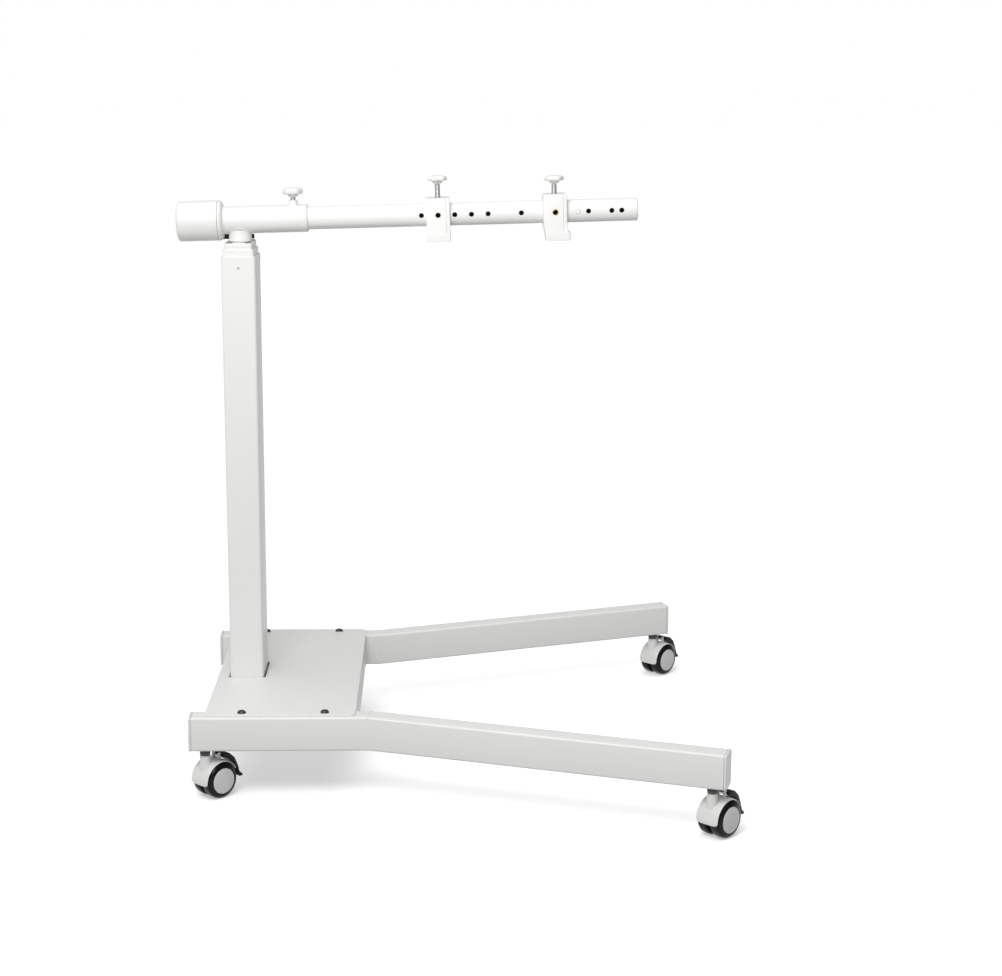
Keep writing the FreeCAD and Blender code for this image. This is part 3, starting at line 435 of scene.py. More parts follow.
caps = []
stems = {}
for side_name, side in (("left", 1), ("right", -1)):
    stations, ahead = leg_stations(side)
    for end_name, centre, outward in (("rear", stations[0][0], Vector((-1, 0, 0))),
                                      ("front", stations[2][0], ahead)):
        heading = math.degrees(math.atan2(outward.y, outward.x))
        place = Matrix.Translation(centre) @ turn(heading) @ ALONG_X
        flange = rectangle(-30.5, 30.5, -20.5, 20.5, 4.6)
        rings = [[(p.x, p.y, 0.8) for p in shrunk(flange, 0.4)], [(p.x, p.y, 1.2) for p in flange]]
        for k in range(5):
            a = math.pi / 2 * k / 4
            rim = shrunk(flange, 1.8 * (1 - math.cos(a)))
            rings.append([(p.x, p.y, 3.2 + 1.8 * math.sin(a)) for p in rim])
        rings.append([(p.x, p.y, 4.75) for p in shrunk(flange, 4.5)])
        insert = prism(rectangle(-27.9, 27.9, -17.9, 17.9, 2), -7, 0.9)
        caps.append(moved(together(stack(rings), insert), place))
        stem = centre - outward * 21
        stems[f"{end_name}_{side_name}"] = Vector((stem.x, stem.y, 0))
piece("leg_caps", together(*caps), STAND, "base", "plastic_white", ["leg_end_caps"])


def crossbeam_shape(x0, x1):
    """Rectangular tube between the legs, welded to both."""
    z0, z1 = LEG_MID_Z - LEG_HALF_H, LEG_MID_Z + LEG_HALF_H
    outer = rectangle(x0, x1, z0, z1, 4)
    inner = rectangle(x0 + WALL, x1 - WALL, z0 + WALL, z1 - WALL, 2)
    reach = HALF_WIDTH - 2 * LEG_HALF_W - 0.1
    tube = moved(shell(outer, inner, -reach, reach, 0.2), turn(90, "X"))
    welds = []
    for side in (-1, 1):
        rim = [Vector((p.x, side * (reach - 0.3), p.y)) for p in outer]
        welds.append(bead(dense(rim), 1.4))
    return together(tube, *welds)


piece("front_beam", crossbeam_shape(165, 205), STAND, "base", "powder_white", ["front_crossbeam"])
piece("rear_beam", crossbeam_shape(-53, -33), STAND, "base", "powder_white", ["rear_crossbeam"],
      cutters=[moved(prism(rectangle(126, 154, 110, 130, 1), -31, -55.5), turn(90, "Z") @ turn(90, "X"))])

# the plate's slot for the column runs out on both sides of it
plate = prism(rectangle(-53, 205, -273, 273, 12, 8), 150, PLATE_TOP, 0.7)
plate_cuts = [prism(rectangle(-33.5, 33.5, -50.4, 50.4, 1.0), 149, 154)]
piece("floor_plate", plate, STAND, "base", "powder_white", ["base_plate"], cutters=plate_cuts)


def screw_head(radius, height, socket):
    top = soft_profile([(radius * 0.55, 0.0, 0), (radius, 0.0, 0), (radius, 1.0, 0.3),
                        (radius * 0.78, height, 0.9), (socket + 0.5, height, 0.2)], 3)
    recess = [(socket, height - 0.4, six_sided), (socket, height - 2.0, six_sided), (0, height - 2.2)]
    return lathe([(0, -0.1)] + top + recess)


screws = []
washers = []
for x in (10.0, 152.0):
    for side in (-1, 1):
        place = at(x, side * 258, PLATE_TOP)
        washers.append(moved(lathe([(4, 0), (8.2, 0), (8.4, 0.3), (8.2, 0.8), (4, 0.8)], loop=True), place))
        screws.append(moved(screw_head(7.2, 3.3, 3.0), place @ at(0, 0, 0.6)))
        screws.append(moved(lathe([(0, -14), (2.6, -14), (3.0, -13.4), (3.0, 0.7), (0, 0.7)], 24), place))
for x in (-18, 18):
    for y in (-38, 38):
        place = at(x, y, 94.5) @ turn(180, "X")
        screws.append(moved(screw_head(6.4, 4.0, 3.2), place))
        screws.append(moved(lathe([(0, -11), (3.6, -11), (4, -10.5), (4, 0.1), (0, 0.1)], 24), place))
stop_line = soft_profile([(0, -1.8, 0), (1.9, -1.8, 0), (1.9, 0, 0), (3.1, 0, 0.1), (3.0, 0.7, 0.4),
                          (1.7, 0.8, 0.2)])
stop_screw = lathe(stop_line + [(1.5, 0.2, six_sided), (0, 0.1)], 36)
piece("column_stop_screw", moved(stop_screw, at(0, -50, OUTER_TOP - 19) @ turn(90, "X")), STAND, "base",
      "bright_steel")
piece("plate_washers", together(*washers), STAND, "base", "bright_steel")
piece("base_screws", together(*screws), STAND, "base", "dark_steel", ["frame_screws"])

stem_places = [Matrix.Translation(stem) for stem in stems.values()]
stem = lathe([(0, 61.5), (5.45, 62.0), (5.5, 62.5), (5.5, 78.5), (5.0, 79.0), (5.0, 103.5), (4.4, 104.0),
              (0, 104.0)])
nut = lathe([(5.1, 78.8), (8.0, 78.8), (9.1, 79.6), (9.2, 83.4), (8.6, 83.8), (8.6, 84.4),
             (8.8, 84.5, six_sided), (9.9, 85.2, six_sided), (9.9, 89.3, six_sided), (9.0, 90.0, six_sided),
             (5.1, 90.0)], 60, loop=True)
piece("caster_threaded_stems", together(*[moved(stem, place) for place in stem_places]), STAND, "base",
      "chrome", ["caster_stems"])
piece("caster_stem_nuts", together(*[moved(nut, place) for place in stem_places]), STAND, "base", "dark_steel")


# --- casters, drawn with the wheels trailing towards +X and the stem at the origin ---
AXLE_PLACE = at(TRAIL, 0, AXLE_Z)
PEDAL_PIN = (40.2, 84)  # radius and degrees about the axle
AXLE_WAYS = {1: ALONG_Y, -1: turn(90, "X")}  # from +Z to each wheel's side


def round_axle(radius, degrees, y=0.0):
    a = math.radians(degrees)
    return Vector((TRAIL + radius * math.cos(a), y, AXLE_Z + radius * math.sin(a)))


def hood_shape():
    """A cover over both wheels with a rib between them, swept about the axle, and the brake's two ears."""
    rim = [(33.2, 2.6, 0), (33.2, 21.5, 0.2), (33.7, 22.0, 0.3), (34.6, 20.6, 1.2), (35.0, 16.0, 3.0),
           (35.0, 11.0, 0)]
    half_line = [Vector((6, 2.6))] + rounded(rim, 4, closed=False)
    rings = []
    steps, back, front = 72, 24, 187  # degrees about the axle that the cover runs between
    for k in range(steps + 1):
        degrees = back + (front - back) * k / steps
        # the lower corners are rounded off
        from_end = min(1.0, (front - degrees) / 10.0)
        tuck = 6.0 * (1 - math.sqrt(max(0.0, 1 - (1 - from_end) ** 2)))
        from_start = min(1.0, (degrees - back) / 7.0)
        tuck = max(tuck, 4.0 * (1 - math.sqrt(max(0.0, 1 - (1 - from_start) ** 2))))
        ring = []
        for sign in (1, -1):
            line = half_line if sign > 0 else list(reversed(half_line))
            for p in line:
                y = p.y if p.y < 3 else max(3.0, p.y - tuck)
                ring.append(round_axle(p.x, degrees, sign * y))
        rings.append(ring)
    ear = prism(rectangle(-3.6, 3.6, -5, 6.0, 2.2), 0, 2.8, 0.4)
    ears = [moved(ear, at(*round_axle(*PEDAL_PIN, y)) @ turn(90, "X")) for y in (8.6, -5.8)]
    return together(stack(rings), *ears)


neck = turned([(5.6, 61.2, 0), (5.6, 78, 0.4), (9.0, 78, 1.2), (9.4, 62, 4), (9.6, 47, 0), (5.6, 47, 0)],
              loop=True)
wheel_room = [moved(rod(33.2, 2.6, 40, 96), AXLE_PLACE @ way) for way in AXLE_WAYS.values()]


def wheel_shape(sign):
    """One wheel: web, shoulders and tread, with a shallow seat for its hub cap."""
    profile = [(4.05, 3.6, 0), (24, 3.6, 1), (25.5, 4.6, 1), (28.5, 4.6, 1.5), (30.9, 5.6, 1.2),
               (31.45, 8.2, 2), (31.5, 12.5, 1), (31.45, 17.2, 2), (30.7, 20.4, 2), (28.6, 22.9, 1.6),
               (25.6, 24.3, 0.8), (24.6, 24.9, 0.4), (23.2, 25.0, 0.4), (22.7, 24.2, 0.2), (22.5, 22.8, 0),
               (4.05, 22.8, 0)]
    return moved(turned(profile, 72, 3, loop=True), AXLE_PLACE @ AXLE_WAYS[sign])


def hub_cap_shape(sign):
    corners = [(0, 22.9, 0), (22.2, 22.9, 0), (22.3, 25.0, 0.5), (21.2, 25.8, 0.7), (19.0, 25.95, 0.8),
               (14, 26.45, 3), (7, 26.7, 3), (0, 26.8, 0)]
    return moved(turned(corners, 72, 3), AXLE_PLACE @ AXLE_WAYS[sign])


def area(line):
    return sum(a.x * b.y - b.x * a.y for a, b in zip(line, line[1:] + line[:1])) / 2


def pedal_shape():
    """Brake pedal: a hump over the hood that runs down to a ribbed toe."""
    outer = [(25.0, 75.0, 2), (33.0, 76.5, 3), (43.0, 74.0, 5), (54.0, 63.5, 6), (61.0, 47.0, 8),
             (64.0, 36.0, 5), (71.5, 29.0, 1.5), (69.5, 26.2, 1.0), (63.5, 26.6, 2), (58.8, 31.0, 2)]
    inner = [(p.x, p.z, 0) for p in (round_axle(38.4, degrees) for degrees in range(8, 79, 10))]
    line = rounded(outer + inner, 4)
    line = list(reversed(line)) if area(line) < 0 else line
    body = moved(prism([Vector((p.x, -p.y)) for p in reversed(line)], -14, 14, 1.3), turn(-90, "X"))
    rib = prism(rectangle(-0.5, 0.5, -12, 12, 0.3), -0.5, 0.9, 0.2)
    ribs = [moved(rib, at(x, 0, z) @ turn(lean, "Y"))
            for x, z, lean in ((68.4, 30.9, 43), (66.2, 32.9, 43), (64.5, 35.5, 60))]
    return together(body, *ribs)


for name, stem in stems.items():
    place = STAND @ Matrix.Translation(stem) @ turn(CASTER_HEADING)
    fork = f"{name}_fork"
    piece(f"{name}_cover", hood_shape(), place, fork, "plastic_white", [f"{name}_hood"])
    piece(f"{name}_neck", neck, place, fork, "plastic_white", cutters=wheel_room)
    axle = moved(turned([(0, -20, 0), (4, -20, 0.5), (4, 20, 0.5), (0, 20, 0)], 32), AXLE_PLACE @ ALONG_Y)
    pedal_pin = moved(rod(1.5, -8.4, 8.4, 20), at(*round_axle(*PEDAL_PIN)) @ ALONG_Y)
    piece(f"{name}_axle", together(axle, pedal_pin), place, fork, "bright_steel")
    for sign, end, body in ((-1, "outer", "a"), (1, "inner", "b")):
        wheel_body = f"{name}_wheel_{body}"
        piece(f"{name}_tyre_{body}", wheel_shape(sign), place, wheel_body, "wheel_black",
              [f"{name}_wheel_{end}"])
        piece(f"{name}_hub_cap_{body}", hub_cap_shape(sign), place, wheel_body, "plastic_grey")
    piece(f"{name}_pedal", pedal_shape(), place, f"{name}_brake", "plastic_black", [f"{name}_brake_lever"])


# --- lifting column ---
def stage_outline(size_x, size_y, corner):
    return rectangle(-size_x / 2, size_x / 2, -size_y / 2, size_y / 2, corner, 6)


def stage_shape(size_x, size_y, corner, z0, z1):
    inside = stage_outline(size_x - 2 * WALL, size_y - 2 * WALL, corner - 2)
    return shell(stage_outline(size_x, size_y, corner), inside, z0, z1, 0.4)


window = prism(rectangle(0, 40, -22.5, 22.5, 1), 106, 149.5)
piece("outer_stage", stage_shape(60, 100, 5, 98, OUTER_TOP), STAND, "base", "column_white",
      ["column_outer"], cutters=[window])
foot = prism(stage_outline(56.2, 96.2, 3), 98, 108, 0.2)
piece("outer_stage_foot", foot, STAND, "base", "powder_white")
piece("mid_stage_tube", stage_shape(54, 94, 4, 160, MID_TOP), STAND, "mid_stage", "column_white",
      ["column_mid"])
piece("inner_stage_tube", stage_shape(48, 88, 4, 184, INNER_TOP - 8), STAND, "inner_stage", "column_white",
      ["column_inner"])

cap = prism(stage_outline(48, 88, 4), INNER_TOP - 8, INNER_TOP, 0.8)
under = together(prism(stage_outline(43.8, 83.8, 2), INNER_TOP - 24, INNER_TOP - 7.5),
                 lathe([(12, INNER_TOP - 68), (16, INNER_TOP - 68), (16, INNER_TOP - 20),
                        (12, INNER_TOP - 20)], loop=True))
collar = turned([(12, INNER_TOP - 1, 0), (15, INNER_TOP - 1, 0), (15, INNER_TOP + 12, 0.5),
                 (12, INNER_TOP + 12, 0.5)], loop=True)
head_screw_places = [at(x, y, INNER_TOP) for x in (-16.5, 16.5) for y in (-36, 36)]
head_cuts = [rod(12, INNER_TOP - 80, INNER_TOP + 20, 48)]
head_cuts += [moved(rod(6.4, -4.5, 2), place) for place in head_screw_places]
piece("head_cap", cap, STAND, "inner_stage", "powder_white", ["column_head"], cutters=head_cuts)
piece("head_housing", under, STAND, "inner_stage", "powder_white", cutters=head_cuts[:1])
piece("head_collar", collar, STAND, "inner_stage", "bright_steel")
head_screw = lathe([(0, 0), (6.25, 0), (6.25, 4.4, knurled), (6.25, 5.0, knurled), (5.9, 5.4), (3.4, 5.4),
                    (3.2, 5.2, six_sided), (3.2, 2.6, six_sided), (0, 2.4)], 72)
head_screws = together(*[moved(head_screw, place @ at(0, 0, -4.4)) for place in head_screw_places])
piece("head_cap_screws", head_screws, STAND, "inner_stage", "dark_steel", ["head_screws"])


# --- arm ---
def meeting_line(radius, tube_radius, centre_z, count=160):
    """Where an upright rod meets the underside of a wider, level tube."""
    path = []
    for k in range(count):
        a = 2 * math.pi * k / count
        x, y = radius * math.cos(a), radius * math.sin(a)
        rise = math.sqrt(max(0.0, tube_radius ** 2 - y * y))
        path.append(Vector((x, y, centre_z - rise)))
    return path


sleeve = moved(turned([(SLEEVE_BORE_R, SLEEVE_X0, 0), (SLEEVE_R, SLEEVE_X0, 0.3), (SLEEVE_R, SLEEVE_X1, 0.3),
                       (SLEEVE_BORE_R, SLEEVE_X1, 0.2)], 96, loop=True), ALONG_X)
boss = moved(turned([(5, 19, 0), (10.5, 19, 0), (10.5, 23.8, 0.8), (8.9, 25.0, 1.2), (8, 27.5, 2.0),
                     (8, 32, 0.9), (5, 32, 0.4)], 64, loop=True), at(SLEEVE_KNOB_X))
sleeve_bore = moved(rod(SLEEVE_BORE_R, -110, 130, 96), ALONG_X)
boss_bore = moved(rod(5.0, 10, 40), at(SLEEVE_KNOB_X))
piece("sleeve_tube", sleeve, ARM, "arm", "powder_white", ["arm_sleeve"], cutters=[boss_bore])
piece("sleeve_boss", boss, ARM, "arm", "powder_white", cutters=[sleeve_bore])

stub_low = INNER_TOP + 1.2
stub = turned([(COLLAR_R, stub_low, 0), (STUB_R, stub_low, 0.7), (STUB_R, ARM_Z - 18, 0),
               (COLLAR_R, ARM_Z - 18, 0)], 72, loop=True)
stub_weld = bead(meeting_line(STUB_R, SLEEVE_R, ARM_Z), 1.0)
arm_bore = moved(rod(SLEEVE_BORE_R, -60, 60, 96), at(0, 0, ARM_Z) @ turn(-ARM_RISE, "Y") @ ALONG_X)
split = prism(rectangle(-1.2, 1.2, 10, 40, 0.2), INNER_TOP - 1, INNER_TOP + 13)
piece("sleeve_stub", together(stub, stub_weld), STAND, "arm", "powder_white", cutters=[arm_bore, split])

# the swivel's brake: two ears on the split stub, a bolt that draws them together and its lever
bolt_y, bolt_z, pin_x = 31.0, INNER_TOP + 6.4, -28.0
bolt_line = at(0, bolt_y, bolt_z) @ ALONG_X
pin_place = at(pin_x, bolt_y, bolt_z)
ears = prism(rectangle(-19.9, 8, 12, 35.5, 1.5), INNER_TOP + 2.2, INNER_TOP + 12.2, 0.6)
collar_bore = rod(COLLAR_R, INNER_TOP - 5, INNER_TOP + 13, 72)
piece("lock_ears", ears, STAND, "arm", "powder_white",
      cutters=[collar_bore, split, moved(rod(3.2, -32, 12), bolt_line)])
shank = turned([(0, 3, 0), (3, 3, 0.2), (3, 41.8, 0.6), (0, 41.8, 0)], 32)
eye = turned([(2.6, -2.4, 0.3), (5, -2.4, 0.6), (5, 2.4, 0.6), (2.6, 2.4, 0.3)], 40, loop=True)
pin = turned([(0, -4.0, 0), (2.5, -4.0, 0.4), (2.5, 4.0, 0.4), (0, 4.0, 0)], 32)
nut = lathe([(3.0, 0), (4.3, 0, six_sided), (5.0, 0.5, six_sided), (5.0, 5.0, six_sided),
             (4.3, 5.5, six_sided), (3.0, 5.5)], 48, loop=True)
bolt = together(moved(shank, pin_place @ ALONG_X), moved(together(eye, pin), pin_place),
                moved(nut, at(8, bolt_y, bolt_z) @ ALONG_X))
piece("lock_bolt_and_nut", bolt, STAND, "arm", "dark_steel", ["swivel_lock_bolt"])


def arc(x, y, radius, first, last, step=6):
    """Points round (x, y), every few degrees from first to before last."""
    return [Vector((x + radius * math.cos(math.radians(a)), y + radius * math.sin(math.radians(a))))
            for a in range(first, last, step)]


lock_z0, lock_z1 = INNER_TOP + 2.4, INNER_TOP + 10.4
bar = prism(rounded([(-31, 37.3, 2.5), (-20, 37.2, 3), (18, 37.0, 2), (21, 38.5, 1.5), (21, 43, 2),
                     (17, 44, 2), (-22, 43.8, 5), (-31, 43.2, 3)], 4), lock_z0, lock_z1, 1.2)
hub_outline = arc(pin_x, bolt_y, 7.95, 118, 401) + [Vector((-22.0, 40.2)), Vector((-31.3, 40.2))]
hub = prism(hub_outline, lock_z0, lock_z1, 0.8)
swept_by_bolt = prism([Vector((0, 0))] + arc(0, 0, 9.5, -135, 24), -3.1, 3.1)
lock_cuts = [moved(cut, pin_place) for cut in (rod(2.55, -10, 10), rod(6, -2.8, 2.8, 40), swept_by_bolt)]
piece("lock_lever_bar", bar, STAND, "lock_lever", "plastic_black", ["swivel_lock_lever"])
piece("lock_lever_hub", hub, STAND, "lock_lever", "plastic_black", cutters=lock_cuts)

bush = turned([(20.05, 74, 0), (21.45, 74, 0), (21.45, 115.9, 0), (24.3, 115.9, 0.3), (24.5, 117.9, 0.8),
               (22.9, 119.4, 0.8), (20.5, 119.4, 0.4), (20.05, 119.0, 0)], 96, loop=True)
piece("sleeve_bush", moved(bush, ALONG_X), ARM, "arm", "plastic_white", ["sleeve_front_bush"],
      cutters=[boss_bore])

drum = turned([(0, -109.2, 0), (28, -109.2, 5), (34.7, -107.3, 6), (35.2, -99, 3), (35.2, -37.9, 0.3),
               (32.2, -37.5, 0), (32.2, -102.2, 0), (0, -102.2, 0)], 128, 5)
piece("counterweight_drum", moved(drum, ALONG_X), ARM, "arm", "powder_white", ["counterweight_shell"])
cover = turned([(24.1, -37.1, 0), (34.9, -37.1, 0), (35.2, -36.9, 0.2), (35.2, -34.6, 1.5),
                (33.8, -31.6, 2.2), (30.6, -29.6, 2.4), (27.0, -28.8, 1.5), (24.1, -28.8, 0)], 128, 5,
               loop=True)
cover_weld = bead([Vector((-28.4, 24.2 * math.cos(a), 24.2 * math.sin(a)))
                   for a in (2 * math.pi * k / 160 for k in range(160))], 0.8)
piece("counterweight_shoulder", together(moved(cover, ALONG_X), cover_weld), ARM, "arm", "powder_white",
      ["counterweight_cover"])


def drilled_tube(x0, x1, outer, inner, holes, hole_r, divisions=64):
    """Tube along +X with round holes in its -Y side. The grid opens round each hole into a ring."""
    spread = 4
    half = math.pi * 2 / divisions * spread * outer
    lines = {round(x0, 4), round(x1, 4)}
    for x in holes:
        for k in range(-spread, spread + 1):
            lines.add(round(x + half * k / spread, 4))
    stations = sorted(lines)
    filled = []
    for a, b in zip(stations, stations[1:]):
        n = max(1, int((b - a) / 12))
        filled += [a + (b - a) * k / n for k in range(n)]
    filled.append(stations[-1])
    points, faces = [], []
    index = {}

    def point(layer, i, j):
        key = (layer, i, j % divisions)
        if key not in index:
            radius = outer if layer == 0 else inner
            a = 2 * math.pi * (j % divisions) / divisions
            index[key] = len(points)
            points.append(Vector((filled[i], radius * math.cos(a), radius * math.sin(a))))
        return index[key]

    # the angle is measured from +Y, so -Y is half way round
    front = divisions // 2
    firsts = {x: min(range(len(filled)), key=lambda i: abs(filled[i] - (x - half))) for x in holes}
    opened = {(i, j) for first in firsts.values() for i in range(first, first + 2 * spread)
              for j in range(front - spread, front + spread)}
    for i in range(len(filled) - 1):
        for j in range(divisions):
            if (i, j) in opened:
                continue
            for layer in (0, 1):
                quad = (point(layer, i, j), point(layer, i + 1, j), point(layer, i + 1, j + 1),
                        point(layer, i, j + 1))
                faces.append(quad if layer else tuple(reversed(quad)))
    for x, first in firsts.items():
        lo_i, hi_i, lo_j, hi_j = first, first + 2 * spread, front - spread, front + spread
        rim = [(i, lo_j) for i in range(lo_i, hi_i)] + [(hi_i, j) for j in range(lo_j, hi_j)]
        rim += [(i, hi_j) for i in range(hi_i, lo_i, -1)] + [(lo_i, j) for j in range(hi_j, lo_j, -1)]
        loops = []
        for layer, radius in ((0, outer), (1, inner)):
            square = [point(layer, i, j) for i, j in rim]
            circles = []
            for extra in ((1.9, 0.35) if layer == 0 else (1.9,)):
                circle = []
                for index_here in square:
                    p = points[index_here]
                    a = math.atan2(p.z, p.x - x)
                    r = hole_r + extra
                    z = r * math.sin(a)
                    circle.append(len(points))
                    points.append(Vector((x + r * math.cos(a), -math.sqrt(radius ** 2 - z * z), z)))
                circles.append(circle)
            edge = []
            for index_here in square:
                p = points[index_here]
                a = math.atan2(p.z, p.x - x)
                z = hole_r * math.sin(a)
                depth = math.sqrt(radius ** 2 - z * z) - (0.3 if layer == 0 else 0)
                edge.append(len(points))
                points.append(Vector((x + hole_r * math.cos(a), -depth, z)))
            for low, high in zip([square] + circles, circles + [edge]):
                for k in range(len(low)):
                    m = (k + 1) % len(low)
                    faces.append((low[k], low[m], high[m], high[k]))
            loops.append(edge)
        for k in range(len(loops[0])):
            m = (k + 1) % len(loops[0])
            faces.append((loops[0][k], loops[0][m], loops[1][m], loops[1][k]))
    for i in (0, len(filled) - 1):
        for j in range(divisions):
            faces.append((point(0, i, j), point(0, i, j + 1), point(1, i, j + 1), point(1, i, j)))
    return points, faces


first_clamp = CLAMPS["clamp_1"][0]
hole_row = [first_clamp + HOLE_PITCH * step for step in (-1, 0, 1, 2, 3, 5)]
hole_row += [CLAMPS["clamp_2"][0]] + [PLUGGED_HOLE_X + x for x in (0, 18, 59, 76.5)]
tube = drilled_tube(TUBE_X0, TUBE_X1, TUBE_R, TUBE_BORE_R, hole_row, HOLE_R)
piece("arm_inner_tube", tube, ARM, "tube", "powder_white", ["arm_tube"], sharp=28)
# painted shade: a dark skin lining the bore, so the tube's inside looks shaded as seen through the holes
bore_shade_skin = drilled_tube(TUBE_X0 + 0.2, TUBE_X1 - 12.5, TUBE_BORE_R - 0.02, TUBE_BORE_R - 0.4, hole_row,
                         HOLE_R + 0.1)
piece("arm_tube_bore_shade", bore_shade_skin, ARM, "tube", "dark_steel", sharp=28)
end_plug = turned([(0, 685, 0), (17.9, 685, 0.5), (17.9, 697, 0), (19.9, 697.05, 0.2), (19.9, 698.3, 1.2),
                   (18.2, 699.5, 1.5), (0, 699.7, 0)], 96)
side_plug = turned([(0, -4, 0), (4.1, -4, 0), (4.1, -0.3, 0.4), (3.5, 0.05, 0.3), (0, 0.1, 0)], 40)
plugs = together(moved(end_plug, ALONG_X), moved(side_plug, at(PLUGGED_HOLE_X, -19.6, 0) @ turn(90, "X")))
piece("tube_end_plug", plugs, ARM, "tube", "plastic_white", ["tube_plugs"])


# --- hand knobs and clamps ---
def lobed(depth):
    def factor(a):
        wave = 0.5 - 0.5 * math.cos(6 * a)
        return 1 - depth * wave ** 1.6
    return factor


def knob_shape(top, height):
    """A thick lens with six shallow lobes, on a short hub."""
    z0 = top - height
    full, part_way, faint = lobed(0.085), lobed(0.07), lobed(0.03)
    profile = [(0, top), (6, top - 0.1), (11, top - 0.7), (14, top - 1.5, faint),
               (16.2, top - 2.5, part_way), (17.3, top - 3.7, full), (17.7, top - 5.0, full),
               (17.65, z0 + 3.4, full), (17.0, z0 + 2.2, full), (15.4, z0 + 1.3, part_way),
               (12.0, z0 + 0.9, faint), (10.0, z0 + 0.6), (9.0, z0 - 0.3), (8.5, z0 - 2.5),
               (8.0, z0 - 3.0), (4.9, z0 - 3.0), (0, z0 - 3.0)]
    return lathe(profile, 144)


def stud_shape(bottom, top):
    line = [(0, bottom), (3.9, bottom)]
    z = bottom + 0.8
    while z < top - 0.8:
        line += [(4.85, z), (4.85, z + 0.25), (4.3, z + 0.75)]
        z += 1.25
    return lathe(line + [(4.3, top), (0, top)], 40)


STUD_FOOT = 24.1  # where every stud stands on its pressure pad, from the arm's axis
for name, x, top, height, start in (
    ("sleeve", SLEEVE_KNOB_X, 54.0, 13.0, 0),
    ("clamp_1", *CLAMPS["clamp_1"], 11.0, 12),
    ("clamp_2", *CLAMPS["clamp_2"], 11.0, 0),
):
    place = ARM @ at(x) @ turn(start)
    piece(f"{name}_handwheel", knob_shape(top, height), place, f"{name}_knob", "plastic_white",
          [f"{name}_knob"], sharp=40)
    stud = stud_shape(STUD_FOOT, top - height - 1)
    piece(f"{name}_stud", stud, place, f"{name}_knob", "bright_steel", sharp=50)


# each clamp from its top to its foot: height, left side, right side, depth of the step in its front face
CLAMP_LEVELS = {
    "clamp_1": [(29.5, -20.9, 20.9, 1.2), (-19, -20.9, 20.9, 1.2), (-32.0, -21.1, 20.9, 1.2),
                (-32.6, -21.1, 21.4, 0.02), (-46.0, -21.3, 21.4, 0.02)],
    "clamp_2": [(31.0, -20.9, 20.9, 1.2), (-19, -20.9, 20.9, 1.2), (-32.0, -19.2, 22.2, 1.2),
                (-35.4, -18.8, 22.6, 0.02), (-36.3, -18.7, 26.2, 0.02), (-49.2, -17.0, 26.2, 0.02)],
}


def clamp_ring(z, left, right, step, inward=0.0):
    """A clamp's outline at one height. The front face steps back near its right side."""
    front, back = -CLAMP_HALF_Y, CLAMP_HALF_Y
    line = rounded([(left, front, 2.2), (13.3, front, 0.5), (14.5, front + step, 0.5),
                    (right, front + step, 2.0), (right, back, 2.2), (left, back, 2.2)], 5)
    return [(p.x, p.y, z) for p in (shrunk(line, inward) if inward else line)]


def clamp_shape(levels, edge=1.3, steps=4):
    """Block that hangs round the tube, with soft rims at its top and its foot."""
    rings = []
    for k in range(steps + 1):
        a = math.pi / 2 * k / steps
        z, left, right, step = levels[-1]
        rings.append(clamp_ring(z + 0.6 * (1 - math.cos(a)), left, right, step, 0.6 * (1 - math.sin(a))))
    for z, left, right, step in reversed(levels[1:-1]):
        rings.append(clamp_ring(z, left, right, step))
    for k in range(steps + 1):
        a = math.pi / 2 * k / steps
        z, left, right, step = levels[0]
        rings.append(clamp_ring(z - edge * (1 - math.sin(a)), left, right, step, edge * (1 - math.cos(a))))
    return stack(rings)


for name, foot_hole_x, front_r in (("clamp_1", 0.0, 4.8), ("clamp_2", 4.6, 5.3)):
    levels = CLAMP_LEVELS[name]
    foot_z = levels[-1][0]
    front_hole = lathe([(0, 10), (front_r, 10), (front_r, 30.5), (front_r + 0.7, 31.3), (front_r + 0.7, 40),
                        (0, 40)], 48)
    cutters = [
        moved(rod(TUBE_R + 0.1, -60, 60, 96), ALONG_X),
        lathe([(0, 10), (5.0, 10), (5.0, 28), (5.5, 40), (0, 40)], 32),
        moved(front_hole, turn(90, "X")),
        moved(rod(22, -60, 60, 96), at(0, 32, foot_z) @ ALONG_X),
        moved(rod(3.4, -60, foot_z + 14), at(foot_hole_x, -12, 0)),
    ]
    piece(f"{name}_block", clamp_shape(levels), ARM @ at(CLAMPS[name][0]), name, "powder_white",
          [f"{name}_body"], cutters=cutters)
ring = turned([(4.3, -0.3, 0.2), (5.25, -0.3, 0.3), (5.25, 7.7, 0), (4.3, 7.7, 0)], 48, loop=True)
piece("clamp_2_brass_ring", moved(ring, at(0, -CLAMP_HALF_Y, 0) @ turn(-90, "X")),
      ARM @ at(CLAMPS["clamp_2"][0]), "clamp_2", "brass", ["clamp_2_insert"])

# --- stage, light and camera ---
floor = make_object("floor", lathe([(0, 0), (3, 0), (12, 0), (60, 0)], 96), Matrix())
pale = finish_material("pale_floor", (0.93, 0.93, 0.93), 0.9, grain=60, bump=0.0, mottle=0.002, gleam=0.0)
glow = pale.node_tree.nodes["Principled BSDF"]
glow.inputs["Emission Color"].default_value = (1, 1, 1, 1)
glow.inputs["Emission Strength"].default_value = 0.38
floor.data.materials.append(pale)
floor.visible_diffuse = False


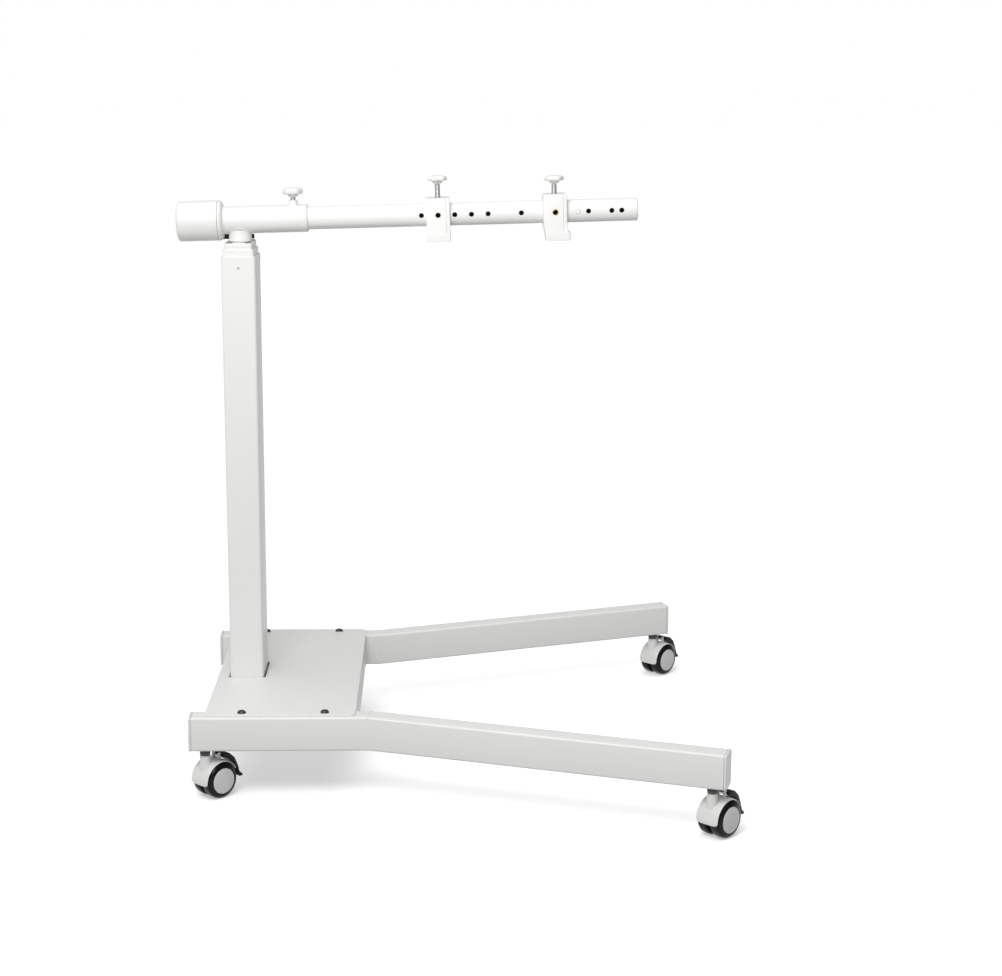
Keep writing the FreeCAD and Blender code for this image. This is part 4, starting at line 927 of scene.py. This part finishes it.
def studio_world(below, wall, above):
    """White walls, dimmer towards +X, a dimmer ceiling, dim light from below, and white paper behind."""
    world = bpy.data.worlds.new("studio")
    bpy.context.scene.world = world
    world.use_nodes = True
    tree = world.node_tree
    way = tree.nodes.new("ShaderNodeTexCoord")
    parts = tree.nodes.new("ShaderNodeSeparateXYZ")
    height = tree.nodes.new("ShaderNodeMapRange")
    height.inputs["From Min"].default_value = -1.0
    ramp = tree.nodes.new("ShaderNodeValToRGB").color_ramp
    bands = [(0.40, below), (0.485, wall), (0.53, wall), (0.66, above)]
    ramp.elements[0].position, ramp.elements[1].position = bands[0][0], bands[-1][0]
    for position, _ in bands[1:-1]:
        ramp.elements.new(position)
    for element, (_, strength) in zip(ramp.elements, bands):
        element.color = (strength, strength, strength, 1)
    shades = next(n for n in tree.nodes if n.bl_idname == "ShaderNodeValToRGB")
    tree.links.new(way.outputs["Generated"], parts.inputs["Vector"])
    tree.links.new(parts.outputs["Z"], height.inputs["Value"])
    tree.links.new(height.outputs["Result"], shades.inputs["Fac"])
    tree.links.new(shades.outputs["Color"], tree.nodes["Background"].inputs["Color"])
    side = tree.nodes.new("ShaderNodeMapRange")
    side.interpolation_type = "SMOOTHSTEP"
    for key, value in (("From Min", 0.35), ("From Max", 0.90), ("To Min", 1.0), ("To Max", 0.42)):
        side.inputs[key].default_value = value
    tree.links.new(parts.outputs["X"], side.inputs["Value"])
    tree.links.new(side.outputs["Result"], tree.nodes["Background"].inputs["Strength"])
    paper = tree.nodes.new("ShaderNodeBackground")
    paper.inputs["Color"].default_value = (1, 1, 1, 1)
    seen = tree.nodes.new("ShaderNodeLightPath")
    choice = tree.nodes.new("ShaderNodeMixShader")
    tree.links.new(seen.outputs["Is Camera Ray"], choice.inputs["Fac"])
    tree.links.new(tree.nodes["Background"].outputs["Background"], choice.inputs[1])
    tree.links.new(paper.outputs["Background"], choice.inputs[2])
    tree.links.new(choice.outputs["Shader"], tree.nodes["World Output"].inputs["Surface"])


studio_world(0.42, 1.0, 0.34)


def lamp(kind, name, place, target, strength, spread):
    """A soft light: a distant one spreads in degrees, a near one is a disc in metres."""
    light = bpy.data.lights.new(name, kind)
    light.energy = strength
    if kind == "SUN":
        light.angle = math.radians(spread)
    elif kind == "SPOT":
        light.shadow_soft_size = 0.3
        light.spot_size = math.radians(spread)
        light.spot_blend = 1.0
    else:
        light.shape = "DISK"
        light.size = spread
    obj = bpy.data.objects.new(name, light)
    obj.location = place
    obj.rotation_euler = (Vector(target) - Vector(place)).to_track_quat("-Z", "Y").to_euler()
    bpy.context.scene.collection.objects.link(obj)


lamp("SUN", "ceiling", (0, 0, 5), (0.3, 0.8, 0), 1.12, 75)
lamp("AREA", "softbox", (-0.45, -1.75, 2.0), (-0.05, 0, 0.95), 25, 1.1)
lamp("SPOT", "arm_light", (-0.3, -2.3, 2.1), (0.08, 0, 1.02), 56, 32)

FOCAL, IMAGE_WIDTH = 1986.3, 1002
EYE, YAW, PITCH, ROLL = (346.4, -3525.3, 1211.3), 1.86, 11.52, 0.27
yaw, pitch, roll = (math.radians(v) for v in (YAW, PITCH, ROLL))
forward = Vector((math.sin(yaw) * math.cos(pitch), math.cos(yaw) * math.cos(pitch), -math.sin(pitch)))
right = forward.cross(Vector((0, 0, 1))).normalized()
up = right.cross(forward)
right, up = right * math.cos(roll) + up * math.sin(roll), up * math.cos(roll) - right * math.sin(roll)
lens = bpy.data.cameras.new("camera")
lens.sensor_width = 36.0
lens.lens = FOCAL * lens.sensor_width / IMAGE_WIDTH
lens.clip_end = 60
camera = bpy.data.objects.new("camera", lens)
eye = STAND @ Vector(EYE)
camera.matrix_world = Matrix((
    (right.x, up.x, -forward.x, eye.x),
    (right.y, up.y, -forward.y, eye.y),
    (right.z, up.z, -forward.z, eye.z),
    (0, 0, 0, 1),
))
bpy.context.scene.collection.objects.link(camera)
bpy.context.scene.camera = camera
bpy.context.scene.view_settings.view_transform = "Standard"
